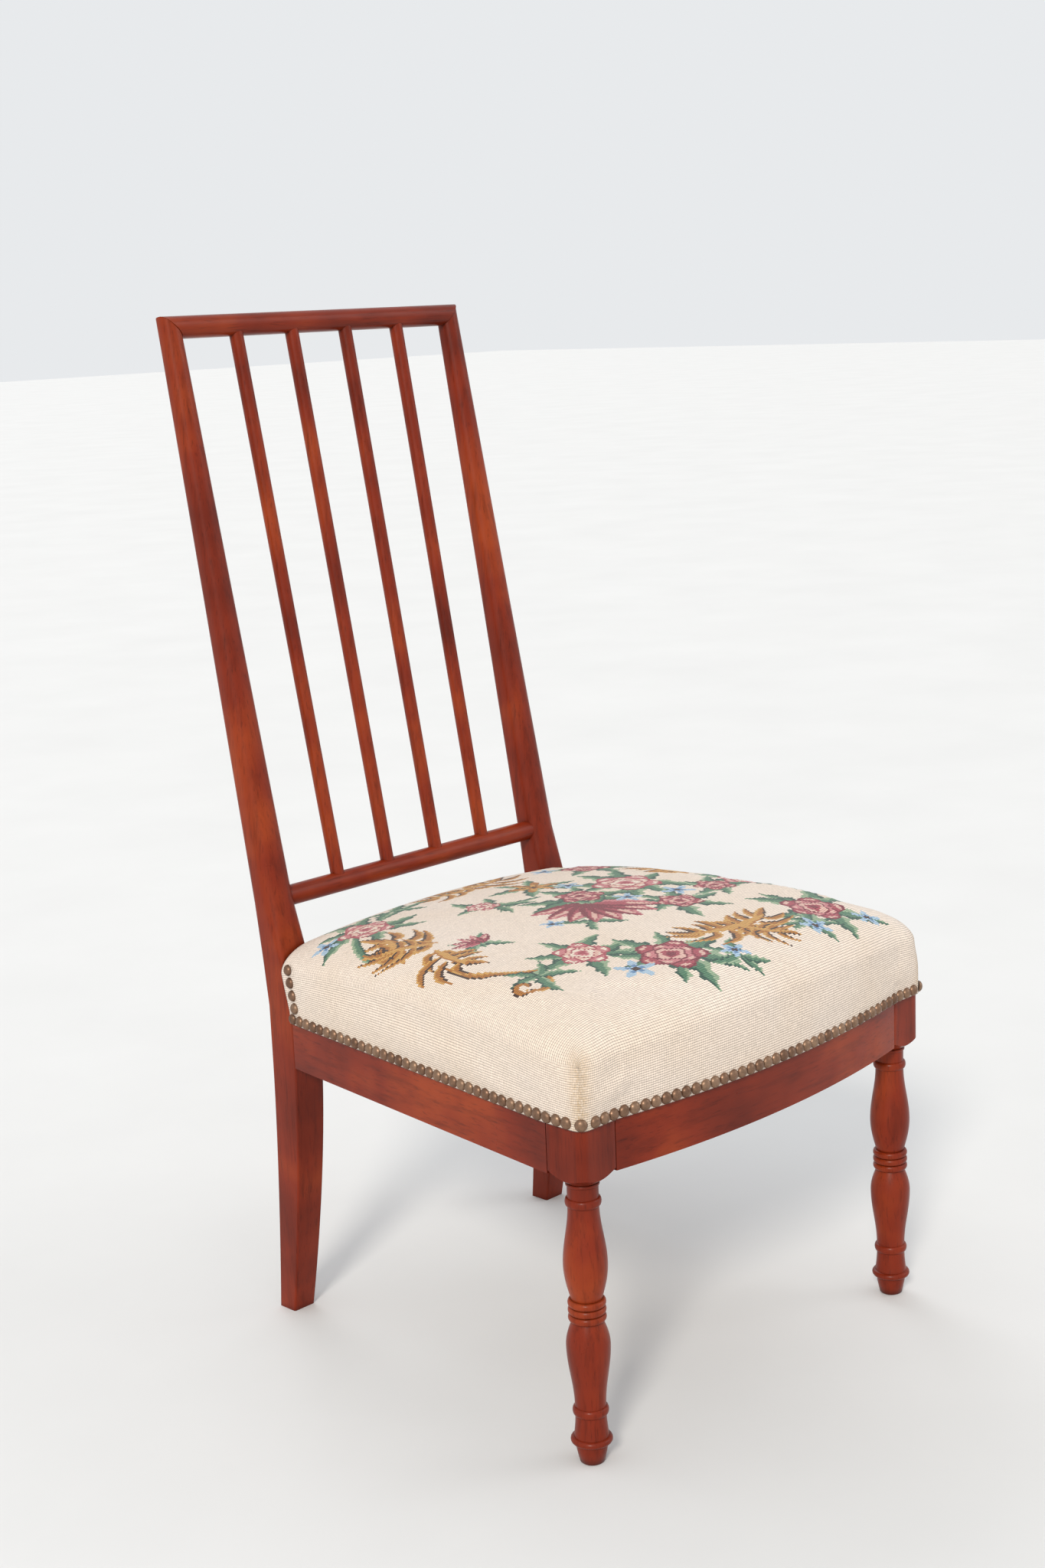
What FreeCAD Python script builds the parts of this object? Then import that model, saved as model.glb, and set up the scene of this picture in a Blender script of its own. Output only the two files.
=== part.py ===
import FreeCAD, Part
import math
import os
import re

import Sketcher
from FreeCAD import Vector

# Low nursing chair with turned front legs, sabre rear posts, a spindle back and a stuffed-over seat.
# Millimetres. Z is up from the floor, the front faces -Y, and X = 0 is the plane of symmetry.

SIZES = {
    # Whole chair
    "overall_height": 920,
    "overall_depth": 555,
    "front_leg_spacing": 412,
    "rear_post_spacing": 342,
    "seat_depth": 373,
    # Seat frame
    "rail_bottom": 248,
    "rail_height": 54,
    "rail_thickness": 24,
    "front_bow": 18,
    "back_rail_thickness": 21,
    "back_rail_setback": 6,
    "tenon_thickness": 10,
    "tenon_shoulder": 8,
    "tenon_length": 15,
    "back_tenon_length": 11,
    "mortise_slack": 1,
    "glue_gap": 0.1,
    "corner_block_reach": 42,
    "corner_block_height": 38,
    "corner_block_drop": 6,
    # Front leg
    "leg_block_side": 39,
    "leg_block_round": 8,
    "leg_shoulder_height": 7,
    "leg_shoulder_lift": 3,
    "leg_neck_diameter": 25.4,
    "leg_ring_diameter": 29.6,
    "leg_ring_height": 7.5,
    "leg_vase_diameter": 36,
    "leg_collar_diameter": 31.2,
    "leg_collar_height": 19,
    "leg_rim_diameter": 34.4,
    "leg_rim_height": 6,
    "leg_rim_round": 2,
    "leg_foot_diameter": 26.6,
    "leg_foot_height": 17,
    "leg_tip_diameter": 20,
    # Rear post
    "post_foot_width": 24,
    "post_foot_depth": 22,
    "post_foot_kick": 24,
    "post_seat_width": 33,
    "post_seat_depth": 33,
    "post_arris_round": 2,
    "post_neck_rise": 44,
    "post_top_width": 20,
    "post_top_depth": 18,
    # Back
    "lower_rail_lift": 8,
    "lower_rail_diameter": 19,
    "lower_rail_tenon_diameter": 12,
    "lower_rail_tenon_length": 14,
    "lower_rail_cope": 5,
    "spindle_diameter": 13,
    "spindle_pitch_top": 65.8,
    "spindle_pitch_bottom": 62.6,
    "spindle_entry": 11,
    "mitre_dowel_diameter": 6,
    "mitre_dowel_length": 16,
    # Seat upholstery
    "webbing_width": 50,
    "webbing_thickness": 1.6,
    "webbing_gap": 0.2,
    "webbing_pitch_across": 68,
    "webbing_pitch_along": 84,
    "webbing_margin": 8,
    "hessian_thickness": 1.2,
    "cover_thickness": 2.2,
    "layer_gap": 0.3,
    "hem_gap": 0.2,
    "hem_drop": 10.5,
    "hem_lift": 6,
    "seat_bulge": 3.8,
    "seat_swell_height": 26,
    "seat_corner_round": 22,
    "seat_shoulder_height": 56,
    "seat_shoulder_lean": 17,
    "seat_crown_height": 88,
    "crown_peak_depth": 172,
    "crown_side_radius": 2066,
    "crown_length_radius": 1429,
    # Nails
    "nail_diameter": 9.6,
    "nail_height": 3.4,
    "nail_pitch": 10.6,
    "post_nail_reach": 46,
    # Length that a cut runs past the surface it opens
    "overrun": 6,
}

SPINDLE_COUNT = 4
CROSS_STRAP_COUNT = 4
LONG_STRAP_COUNT = 4
NAIL_SIDES = 6
COLLAR_BEADS = 3
OGEE_STEPS = 3
ROUND_STEPS = 2
POST_ROUND_STEPS = 3

# Heights on the turned leg, as shares of the length below the rail
LOWER_RING_SHARE = 0.183
LOWER_VASE_SHARE = 0.412
COLLAR_SHARE = 0.534
UPPER_VASE_SHARE = 0.690
UPPER_RING_SHARE = 0.905
# Hollow of the ankle above the foot
ANKLE_SHARE = 0.35
# Flat part of a turned ring
RING_FLAT_SHARE = 0.4

# Sabre leg: height, swing to the rear and swell towards the seat, as shares
SABRE_SHARES = ((0.0, 1.0, 0.0), (0.25, 0.63, 0.36), (0.5, 0.31, 0.64), (0.75, 0.09, 0.85), (1.0, 0.0, 1.0))
# Upper post: swell towards the seat in width and in depth, roundness of the front and of the back
LOWER_RAIL_SHARES = (0.86, 0.68, 0.86, 0.24)
MIDDLE_POST_SHARES = (0.27, 0.22, 0.92, 0.30)
MIDDLE_POST_RISE_SHARE = 0.6
POST_FRONT_ROUND_SHARE = 0.94
POST_BACK_ROUND_SHARE = 0.30
# The post where it leaves the seat: width and depth beside the seat sizes
POST_NECK_WIDTH_SHARE = 0.99
POST_NECK_DEPTH_SHARE = 0.88
# How far the front of the post falls back over the height of the seat
POST_RECEDE_SHARE = 0.205

# Dome of a nail head: diameter and height of each ring
NAIL_DOME_SHARES = ((1.0, 0.0), (0.62, 1.0))

# Places that several pieces share
BLOCK = "leg_block_side / 2"
LEG_X = "(front_leg_spacing / 2)"
LEG_Y = f"(front_bow + hem_gap + cover_thickness + seat_bulge + {BLOCK} - overall_depth / 2)"
RAIL_TOP = "(rail_bottom + rail_height)"
POST_X = "(rear_post_spacing / 2)"
POST_FRONT = f"({LEG_Y} + seat_depth)"
POST_Y = f"({POST_FRONT} + post_seat_depth / 2)"
POST_OUTER = "(rear_post_spacing / 2 + post_seat_width / 2)"
POST_INNER = "(rear_post_spacing / 2 - post_seat_width / 2)"
BLOCK_INNER = f"({LEG_X} - {BLOCK})"
BLOCK_OUTER = f"({LEG_X} + {BLOCK})"
BLOCK_FRONT = f"({LEG_Y} - {BLOCK})"
BLOCK_REAR = f"({LEG_Y} + {BLOCK})"
BACK_RAIL_FRONT = f"({POST_FRONT} + back_rail_setback)"
BACK_RAIL_REAR = f"({BACK_RAIL_FRONT} + back_rail_thickness)"
TENON_HEIGHT = "(rail_height - 2 * tenon_shoulder)"
RAIL_MIDDLE = "(rail_bottom + rail_height / 2)"
# The back leans about a line across the posts at the top of the seat rails
CREST_Y = "(overall_depth / 2 - post_top_depth / 2)"
CREST_Z = "(overall_height - post_top_width / 2)"
RAKE = f"atan(({CREST_Y} - {POST_Y}) / ({CREST_Z} - {RAIL_TOP}))"
CREST_RISE = f"(({CREST_Z} - {RAIL_TOP}) / cos({RAKE}))"
# The lower rail's axis stands above the crown of the seat, so that the rail clears the stuffing
LOWER_RAIL_RISE = f"((seat_crown_height + lower_rail_lift) / cos({RAKE}))"
BACK_ORIGIN = ("0", POST_Y, RAIL_TOP)
CREST_OUTER = "(rear_post_spacing / 2 + post_top_width / 2)"
# Seat layers
HEM_BOTTOM = f"({RAIL_TOP} - hem_drop)"
HEM_OFFSET = "(hem_gap + cover_thickness)"
WEBBING_TOP = f"({RAIL_TOP} + 1.5 * webbing_thickness + webbing_gap)"
HESSIAN_TOP = f"({WEBBING_TOP} + hessian_thickness)"
CROWN_PEAK = f"({BLOCK_FRONT} + crown_peak_depth)"
NAIL_LEVEL = f"({HEM_BOTTOM} + nail_pitch / 2)"

doc = FreeCAD.newDocument("NursingChair")
sheet = doc.addObject("Spreadsheet::Sheet", "Sizes")
ALIASES = re.compile(r"\b(" + "|".join(SIZES) + r")\b")


def fill_sheet():
    for row, (alias, size) in enumerate(SIZES.items(), 1):
        sheet.set(f"A{row}", alias)
        sheet.set(f"B{row}", str(size))
        sheet.setAlias(f"B{row}", alias)
    doc.recompute()


def in_sheet(formula):
    """The formula with every size name pointing at its cell."""
    return ALIASES.sub(r"Sizes.\1", formula)


def value(formula):
    return float(sheet.evalExpression(in_sheet(formula)))


def bind(target, prop, formula):
    target.setExpression(prop, in_sheet(formula))


def place(target, base, *turns):
    """Bind a placement: a base point, then turns that are each an axis and an angle formula."""
    spins = [f"rotation(vector({axis}); {angle})" for axis, angle in turns or [("0; 0; 1", "0")]]
    bind(target, "Placement", f"placement(vector({'; '.join(base)}); {' * '.join(spins)})")


def leaned(rise, across="0"):
    """A point of the back's leaning plane, given its rise along that plane."""
    return (across, f"({POST_Y} + {rise} * sin({RAKE}))", f"({RAIL_TOP} + {rise} * cos({RAKE}))")


LEAN = ("1; 0; 0", f"-{RAKE}")


def new_body(label):
    body = doc.addObject("PartDesign::Body", label)
    body.Label = label
    return body


def new_sketch(body, name, role, offset=None, lean=None):
    """Sketch on one of the body's own origin planes, moved by offset formulas and leaned about its X."""
    sketch = body.newObject("Sketcher::SketchObject", name)
    plane = [item for item in body.Origin.OriginFeatures if item.Role == role][0]
    sketch.AttachmentSupport = [(plane, "")]
    sketch.MapMode = "FlatFace"
    for axis, formula in (offset or {}).items():
        bind(sketch, f"AttachmentOffset.Base.{axis}", formula)
    if lean:
        sketch.AttachmentOffset = FreeCAD.Placement(Vector(), FreeCAD.Rotation(Vector(1, 0, 0), 1))
        bind(sketch, "AttachmentOffset.Rotation.Angle", lean)
    return sketch


def draw(sketch, start, steps):
    """Closed outline from start. A step is (corner,) for a line or (point on arc, corner) for an arc."""
    wanted = []

    def spot(point):
        return Vector(value(point[0]), value(point[1]), 0)

    def pin(edge, end, point):
        for kind, formula, axis in (("DistanceX", point[0], -2), ("DistanceY", point[1], -1)):
            if formula == "0":
                wanted.append((Sketcher.Constraint("PointOnObject", edge, end, axis), None))
            else:
                wanted.append((Sketcher.Constraint(kind, -1, 1, edge, end, value(formula)), formula))

    ends = []
    here = start
    for step in steps:
        corner = step[-1]
        if len(step) == 1:
            edge = sketch.addGeometry(Part.LineSegment(spot(here), spot(corner)), False)
        else:
            edge = sketch.addGeometry(Part.Arc(spot(here), spot(step[0]), spot(corner)), False)
            mark = sketch.addGeometry(Part.Point(spot(step[0])), True)
            pin(mark, 1, step[0])
            wanted.append((Sketcher.Constraint("PointOnObject", mark, 1, edge), None))
        near = sketch.getPoint(edge, 1).distanceToPoint(spot(here))
        far = sketch.getPoint(edge, 2).distanceToPoint(spot(here))
        first = 1 if near < far else 2
        ends.append((edge, first, 3 - first))
        pin(edge, first, here)
        here = corner
    for (edge, _, last), (following, first, _) in zip(ends, ends[1:] + ends[:1]):
        wanted.append((Sketcher.Constraint("Coincident", edge, last, following, first), None))
    numbers = sketch.addConstraint([constraint for constraint, _ in wanted])
    for number, (_, formula) in zip(numbers, wanted):
        if formula is not None:
            bind(sketch, f"Constraints[{number}]", formula)


def polygon(sketch, points):
    draw(sketch, points[0], [(point,) for point in points[1:] + points[:1]])


def rounded_outline(middle, width, depth, front_round, back_round, lines=None):
    """Start and steps of a rectangle with its front corners (low second axis) and back corners rounded,
    each by an arc or by a number of lines."""
    low_x, high_x = f"({middle[0]} - {width} / 2)", f"({middle[0]} + {width} / 2)"
    low_y, high_y = f"({middle[1]} - {depth} / 2)", f"({middle[1]} + {depth} / 2)"

    def corner(x, y, sign_x, sign_y, size, to_side):
        def spot(turn):
            """Point of the corner, from beside it at turn 0 to above it at turn 1."""
            across = 1 - math.sin(math.pi / 2 * turn)
            along = 1 - math.cos(math.pi / 2 * turn)
            return (f"{x} + {sign_x * across:.4f} * {size}", f"{y} + {sign_y * along:.4f} * {size}")

        turns = [step / lines for step in range(lines + 1)] if lines else [0, 0.5, 1]
        spots = [spot(turn) for turn in (turns if to_side else reversed(turns))]
        return [(point,) for point in spots] if lines else [(spots[0],), (spots[1], spots[2])]

    start = (f"{low_x} + {front_round}", low_y)
    steps = [
        *corner(high_x, low_y, -1, 1, front_round, True),
        *corner(high_x, high_y, -1, -1, back_round, False),
        *corner(low_x, high_y, 1, -1, back_round, True),
        *corner(low_x, low_y, 1, 1, front_round, False),
    ]
    return start, steps


def swapped(outline):
    """The same outline with its two axes exchanged."""
    start, steps = outline
    return start[::-1], [tuple(point[::-1] for point in step) for step in steps]


def pad(body, sketch, length, symmetric=False):
    feature = body.newObject("PartDesign::Pad", f"{body.Name}Pad")
    feature.Profile = sketch
    if symmetric:
        feature.SideType = "Symmetric"
    bind(feature, "Length", length)
    return feature


def loft(body, sketches, kind="AdditiveLoft"):
    feature = body.newObject(f"PartDesign::{kind}", f"{body.Name}Loft")
    feature.Profile = sketches[0]
    feature.Sections = sketches[1:]
    feature.Ruled = True
    return feature


def block(body, kind, name, centre, size):
    """Box in a body, given by the formulas of its centre and its three sizes."""
    feature = body.newObject(f"PartDesign::{kind}Box", name)
    for prop, formula in zip(("Length", "Width", "Height"), size):
        bind(feature, prop, formula)
    for axis, middle, length in zip("xyz", centre, size):
        bind(feature, f"Placement.Base.{axis}", f"{middle} - ({length}) / 2")
    return feature


def rod(body, kind, name, base, turn, radius, length):
    """Cylinder in a body from a base point, turned about an axis by an angle formula."""
    feature = body.newObject(f"PartDesign::{kind}Cylinder", name)
    bind(feature, "Radius", radius)
    bind(feature, "Height", length)
    place(feature, base, turn)
    return feature


def cut(label, base, tool):
    feature = doc.addObject("Part::Cut", label)
    feature.Label = label
    feature.Base = base
    feature.Tool = tool
    return feature


def solids_node(label, solids):
    node = doc.addObject("Part::Feature", label)
    node.Label = label
    node.Shape = Part.makeCompound(solids)
    return node


def side_outer(y):
    """Outer face of a side rail at a given y: it narrows from the front block to the rear post."""
    run = f"({POST_FRONT} - {BLOCK_REAR})"
    return f"({BLOCK_OUTER} + ({POST_OUTER} - {BLOCK_OUTER}) * ({y} - {BLOCK_REAR}) / {run})"


def side_inner(y):
    return f"({side_outer(y)} - rail_thickness)"


# Front legs

def ring_steps(centre, height, inner, outer):
    """Turned ring with bevelled flanks, from its lower inner edge to its upper one."""
    flat = f"{RING_FLAT_SHARE} * {height} / 2"
    return [
        ((outer, f"{centre} - {flat}"),),
        ((outer, f"{centre} + {flat}"),),
        ((inner, f"{centre} + {height} / 2"),),
    ]


def swelling(low, high, thin, thick, shares):
    """Steps of a vase's flank between two heights, by shares of the height and of the swell."""
    return [((f"({thin} + {swell} * ({thick} - {thin}))", f"({low} + {rise} * ({high} - {low}))"),)
            for rise, swell in shares]


def ogee_shares(count):
    """Hollow, then full: half a wave from thin to thick."""
    return [(step / count, (1 - math.cos(math.pi * step / count)) / 2) for step in range(1, count + 1)]


def round_shares(count):
    """Full all the way: a quarter wave from thin to thick."""
    return [(step / count, math.sin(math.pi / 2 * step / count)) for step in range(1, count + 1)]


def falling(shares):
    """The same flank run from thick to thin."""
    return [(1 - rise, swell) for rise, swell in reversed(shares[:-1])] + [(1, 0)]


def turned_profile():
    def up(share):
        return f"({share} * rail_bottom)"

    neck, vase = "leg_neck_diameter / 2", "leg_vase_diameter / 2"
    ring, rim = "leg_ring_diameter / 2", "leg_rim_diameter / 2"
    foot, tip = "leg_foot_diameter / 2", "leg_tip_diameter / 2"
    rim_top = "(leg_foot_height + leg_rim_height)"
    lower_ring, upper_ring = up(LOWER_RING_SHARE), up(UPPER_RING_SHARE)
    lower_vase, upper_vase = up(LOWER_VASE_SHARE), up(UPPER_VASE_SHARE)
    collar_low = f"({up(COLLAR_SHARE)} - leg_collar_height / 2)"
    collar_high = f"({up(COLLAR_SHARE)} + leg_collar_height / 2)"
    ring_half = "leg_ring_height / 2"
    bead = f"(leg_collar_height / {COLLAR_BEADS})"
    flank, shoulder = ogee_shares(OGEE_STEPS), round_shares(ROUND_STEPS)
    steps = [
        ((tip, "0"),),
        ((foot, "leg_foot_height"),),
        ((rim, "leg_foot_height"),),
        ((rim, f"{rim_top} - leg_rim_round"),),
        ((f"{rim} - leg_rim_round", rim_top),),
        ((f"{neck} + {ANKLE_SHARE} * ({rim} - {neck})", f"({rim_top} + {lower_ring} - {ring_half}) / 2"),),
        ((neck, f"{lower_ring} - {ring_half}"),),
        *ring_steps(lower_ring, "leg_ring_height", neck, ring),
        *swelling(f"({lower_ring} + {ring_half})", lower_vase, neck, vase, flank),
        *swelling(lower_vase, collar_low, neck, vase, falling(shoulder)),
    ]
    for number in range(COLLAR_BEADS):
        middle = f"({collar_low} + {number + 0.5} * {bead})"
        steps += ring_steps(middle, bead, neck, "leg_collar_diameter / 2")
    steps += [
        *swelling(collar_high, upper_vase, neck, vase, shoulder),
        *swelling(upper_vase, f"({upper_ring} - {ring_half})", neck, vase, falling(flank)),
        *ring_steps(upper_ring, "leg_ring_height", neck, ring),
        ((neck, "rail_bottom - leg_shoulder_height"),),
        (("0", "rail_bottom - leg_shoulder_height"),),
        (("0", "0"),),
    ]
    return ("0", "0"), steps


def front_leg(label, side):
    body = new_body(label)
    low, neck = "rail_bottom - leg_shoulder_height", "leg_neck_diameter / 2"
    bend = "leg_block_round * (1 - sqrt(0.5))"
    square = new_sketch(body, f"{label}_square", "XY_Plane", {"z": low})
    outer = f"{side} * {BLOCK}"
    inner = f"-1 * {outer}"
    draw(square, (inner, f"-{BLOCK}"), [
        ((f"{outer} - {side} * leg_block_round", f"-{BLOCK}"),),
        ((f"{outer} - {side} * {bend}", f"-{BLOCK} + {bend}"), (outer, f"-{BLOCK} + leg_block_round")),
        ((outer, BLOCK),),
        ((inner, BLOCK),),
        ((inner, f"-{BLOCK}"),),
    ])
    pad(body, square, "rail_height + leg_shoulder_height")
    # The turned shoulder takes the lower corners off the square
    corner = "leg_block_side * sqrt(0.5) + overrun"
    shoulder = new_sketch(body, f"{label}_shoulder", "XZ_Plane")
    draw(shoulder, (neck, low), [
        ((corner, "rail_bottom + leg_shoulder_lift"),),
        ((corner, f"{low} - overrun"),),
        ((neck, f"{low} - overrun"),),
        ((neck, low),),
    ])
    groove = body.newObject("PartDesign::Groove", f"{label}_groove")
    groove.Profile = shoulder
    groove.ReferenceAxis = (shoulder, ["V_Axis"])
    profile = new_sketch(body, f"{label}_profile", "XZ_Plane")
    draw(profile, *turned_profile())
    turning = body.newObject("PartDesign::Revolution", f"{label}_turning")
    turning.Profile = profile
    turning.ReferenceAxis = (profile, ["V_Axis"])
    depth = "(tenon_length + mortise_slack)"
    thick, tall = "tenon_thickness + 2 * glue_gap", f"{TENON_HEIGHT} + 2 * glue_gap"
    block(body, "Subtractive", f"{label}_front_mortise",
          (f"{side} * ({depth} / 2 - {BLOCK})", f"rail_thickness / 2 - {BLOCK}", RAIL_MIDDLE),
          (depth, thick, tall))
    block(body, "Subtractive", f"{label}_side_mortise",
          (f"{side} * ({BLOCK} - rail_thickness / 2)", f"{BLOCK} - {depth} / 2", RAIL_MIDDLE),
          (thick, depth, tall))
    place(body, (f"{side} * {LEG_X}", LEG_Y, "0"))
    return body


# Rear posts

def post_size(top, seat, share):
    return f"({top} + {share} * ({seat} - {top}))"


def rear_post(label, side):
    body = new_body(f"{label}_blank")
    x = f"{side} * {POST_X}"
    arris = "post_arris_round"

    def section(name, y, offset, width, depth, front, back, lean=None):
        sketch = new_sketch(body, f"{label}_{name}", "XY_Plane", offset, lean)
        draw(sketch, *rounded_outline((x, y), width, depth, front, back, POST_ROUND_STEPS))
        return sketch

    leg = []
    for number, (height, swing, swell) in enumerate(SABRE_SHARES):
        width = post_size("post_foot_width", "post_seat_width", swell)
        depth = post_size("post_foot_depth", "post_seat_depth", swell)
        middle = f"({POST_Y} + {swing} * post_foot_kick)"
        level = {"z": f"{height} * rail_bottom"}
        leg.append(section(f"leg_{number}", middle, level, width, depth, arris, arris))
    loft(body, leg)
    pad(body, leg[-1], "rail_height")

    seat = ("post_seat_width", "post_seat_depth")
    upper = [section("seat", POST_Y, {"z": RAIL_TOP}, *seat, arris, arris)]

    def leaned_section(name, rise, width, depth, front, back):
        _, y, z = leaned(rise)
        return section(name, "0", {"y": y, "z": z}, width, depth, front, back, f"-{RAKE}")

    neck = (f"({POST_NECK_WIDTH_SHARE} * post_seat_width)", f"({POST_NECK_DEPTH_SHARE} * post_seat_depth)")
    upper.append(leaned_section("neck", "post_neck_rise", *neck, f"2 * {arris}", f"2 * {arris}"))

    def rounding_section(name, rise, wide, deep, front, back):
        width = post_size("post_top_width", "post_seat_width", wide)
        depth = post_size("post_top_depth", "post_seat_depth", deep)
        return leaned_section(name, rise, width, depth, f"({front} * {width} / 2)", f"({back} * {width})")

    upper.append(rounding_section("rail_level", LOWER_RAIL_RISE, *LOWER_RAIL_SHARES))
    middle_rise = f"({MIDDLE_POST_RISE_SHARE} * {CREST_RISE})"
    upper.append(rounding_section("middle", middle_rise, *MIDDLE_POST_SHARES))
    front_round = f"({POST_FRONT_ROUND_SHARE} * post_top_width / 2)"
    back_round = f"({POST_BACK_ROUND_SHARE} * post_top_width)"
    past_crest = f"({CREST_RISE} + post_top_width)"
    top = leaned_section("top", past_crest, "post_top_width", "post_top_depth", front_round, back_round)
    upper.append(top)
    loft(body, upper)

    # Mitre with the crest rail, drawn on the leaning plane
    mitre = new_sketch(body, f"{label}_mitre", "XZ_Plane",
                       {"y": leaned("0")[2], "z": f"-({POST_Y})"}, f"-{RAKE}")
    high = f"({CREST_RISE} + post_top_width / 2)"
    past = "(2 * post_top_width)"
    polygon(mitre, [
        (f"{side} * ({CREST_OUTER} + {past})", f"{high} + {past}"),
        (f"{side} * ({CREST_OUTER} - {past})", f"{high} - {past}"),
        (f"{side} * ({CREST_OUTER} - {past})", f"{high} + {past}"),
    ])
    pocket = body.newObject("PartDesign::Pocket", f"{label}_mitre_cut")
    pocket.Profile = mitre
    pocket.SideType = "Symmetric"
    bind(pocket, "Length", past)

    thick, tall = "tenon_thickness + 2 * glue_gap", f"{TENON_HEIGHT} + 2 * glue_gap"
    depth, back_depth = "(tenon_length + mortise_slack)", "(back_tenon_length + mortise_slack)"
    block(body, "Subtractive", f"{label}_side_mortise",
          (f"{side} * ({POST_OUTER} - rail_thickness / 2)", f"{POST_FRONT} + {depth} / 2", RAIL_MIDDLE),
          (thick, depth, tall))
    back_middle = f"{BACK_RAIL_FRONT} + back_rail_thickness / 2"
    block(body, "Subtractive", f"{label}_back_mortise",
          (f"{side} * ({POST_INNER} + {back_depth} / 2)", back_middle, RAIL_MIDDLE),
          (back_depth, thick, tall))
    reach = "(overrun + lower_rail_cope + lower_rail_tenon_length + mortise_slack)"
    start = f"({LOWER_RAIL_HALF} - lower_rail_cope - overrun)"
    base = leaned(LOWER_RAIL_RISE, f"{side} * {start}")
    rod(body, "Subtractive", f"{label}_rail_mortise", base, ("0; 1; 0", f"{side} * 90"),
        "lower_rail_tenon_diameter / 2 + glue_gap", reach)
    return cut(label, body, mitre_dowel(f"{label}_dowel_hole", side))


# The lower back rail runs past the inner flank of the posts by its cope
LOWER_RAIL_WIDE = post_size("post_top_width", "post_seat_width", LOWER_RAIL_SHARES[0])
LOWER_RAIL_HALF = f"({POST_X} - {LOWER_RAIL_WIDE} / 2 + lower_rail_cope)"


def mitre_dowel(label, side):
    """Dowel square across the mitre of one top corner."""
    dowel = doc.addObject("Part::Cylinder", label)
    bind(dowel, "Radius", "mitre_dowel_diameter / 2")
    bind(dowel, "Height", "mitre_dowel_length")
    back_off = "mitre_dowel_length * sqrt(0.5) / 2"
    base = leaned(f"({CREST_RISE} + {back_off})", f"{side} * ({POST_X} - {back_off})")
    place(dowel, base, LEAN, ("0; 1; 0", f"{side} * 135"))
    return dowel


def mitre_dowels(label):
    pair = doc.addObject("Part::Compound", label)
    pair.Label = label
    pair.Links = [mitre_dowel(f"{label}_{number}", side) for number, side in enumerate((1, -1))]
    return pair


# Back rails and spindles

def spindle_ends(number):
    """X of a spindle at the lower rail and at the crest, and its lean out of the upright."""
    place_share = number - (SPINDLE_COUNT - 1) / 2
    foot, head = f"({place_share} * spindle_pitch_bottom)", f"({place_share} * spindle_pitch_top)"
    return foot, head, f"atan(({head} - {foot}) / ({CREST_RISE} - {LOWER_RAIL_RISE}))"


def spindle_sockets(body, rise, at_head, opening):
    """Sockets for the spindle ends, from a rise past the rail's surface into the rail."""
    for number in range(SPINDLE_COUNT):
        foot, head, fan = spindle_ends(number)
        x = head if at_head else foot
        turn = fan if at_head else f"(180 deg + {fan})"
        sign = "-1" if at_head else "1"
        base = (f"{x} + {sign} * {opening} * sin({fan})", "0", f"{rise} + {sign} * {opening} * cos({fan})")
        rod(body, "Subtractive", f"{body.Name}_socket_{number}", base, ("0; 1; 0", turn),
            "spindle_diameter / 2 + glue_gap", f"{opening} + {SOCKET_PAST_AXIS}")


SOCKET_PAST_AXIS = "(spindle_entry - lower_rail_diameter / 2 + mortise_slack)"


def crest_rail(label):
    body = new_body(f"{label}_blank")
    section = new_sketch(body, f"{label}_section", "YZ_Plane")
    outline = rounded_outline((CREST_RISE, "0"), "post_top_width", "post_top_depth",
                              f"({POST_FRONT_ROUND_SHARE} * post_top_width / 2)",
                              f"({POST_BACK_ROUND_SHARE} * post_top_width)")
    draw(section, *swapped(outline))
    pad(body, section, f"2 * {CREST_OUTER}", symmetric=True)
    high = f"({CREST_RISE} + post_top_width / 2)"
    past = "(2 * post_top_width)"
    for side in (1, -1):
        mitre = new_sketch(body, f"{label}_mitre_{side}", "XZ_Plane")
        polygon(mitre, [
            (f"{side} * ({CREST_OUTER} + {past})", f"{high} + {past}"),
            (f"{side} * ({CREST_OUTER} - {past})", f"{high} - {past}"),
            (f"{side} * ({CREST_OUTER} + {past})", f"{high} - {past}"),
        ])
        pocket = body.newObject("PartDesign::Pocket", f"{label}_mitre_cut_{side}")
        pocket.Profile = mitre
        pocket.SideType = "Symmetric"
        bind(pocket, "Length", past)
    spindle_sockets(body, CREST_RISE, True, "post_top_width")
    place(body, BACK_ORIGIN, LEAN)
    holes = doc.addObject("Part::Compound", f"{label}_dowel_holes")
    holes.Links = [mitre_dowel(f"{label}_dowel_hole_{number}", side) for number, side in enumerate((1, -1))]
    return cut(label, body, holes)


def lower_back_rail(label, posts):
    body = new_body(f"{label}_blank")
    half, full = LOWER_RAIL_HALF, f"({LOWER_RAIL_HALF} + lower_rail_tenon_length)"
    for name, reach, radius in (("rail", half, "lower_rail_diameter / 2"),
                                ("tenons", full, "lower_rail_tenon_diameter / 2")):
        rod(body, "Additive", f"{label}_{name}", (f"-{reach}", "0", LOWER_RAIL_RISE), ("0; 1; 0", "90"),
            radius, f"2 * {reach}")
    spindle_sockets(body, LOWER_RAIL_RISE, False, "lower_rail_diameter")
    place(body, BACK_ORIGIN, LEAN)
    both = doc.addObject("Part::Compound", f"{label}_copes")
    both.Links = posts
    return cut(label, body, both)


def spindle(label, number):
    """Plain round spindle, let into both rails."""
    body = new_body(label)
    foot, head, fan = spindle_ends(number)
    length = f"(({CREST_RISE} - {LOWER_RAIL_RISE}) / cos({fan}))"
    low = "(lower_rail_diameter / 2 - spindle_entry)"
    rod(body, "Additive", f"{label}_rod", ("0", "0", low), ("0; 0; 1", "0"),
        "spindle_diameter / 2", f"{length} - 2 * {low}")
    place(body, leaned(LOWER_RAIL_RISE, foot), LEAN, ("0; 1; 0", fan))
    return body


# Seat frame

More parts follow.
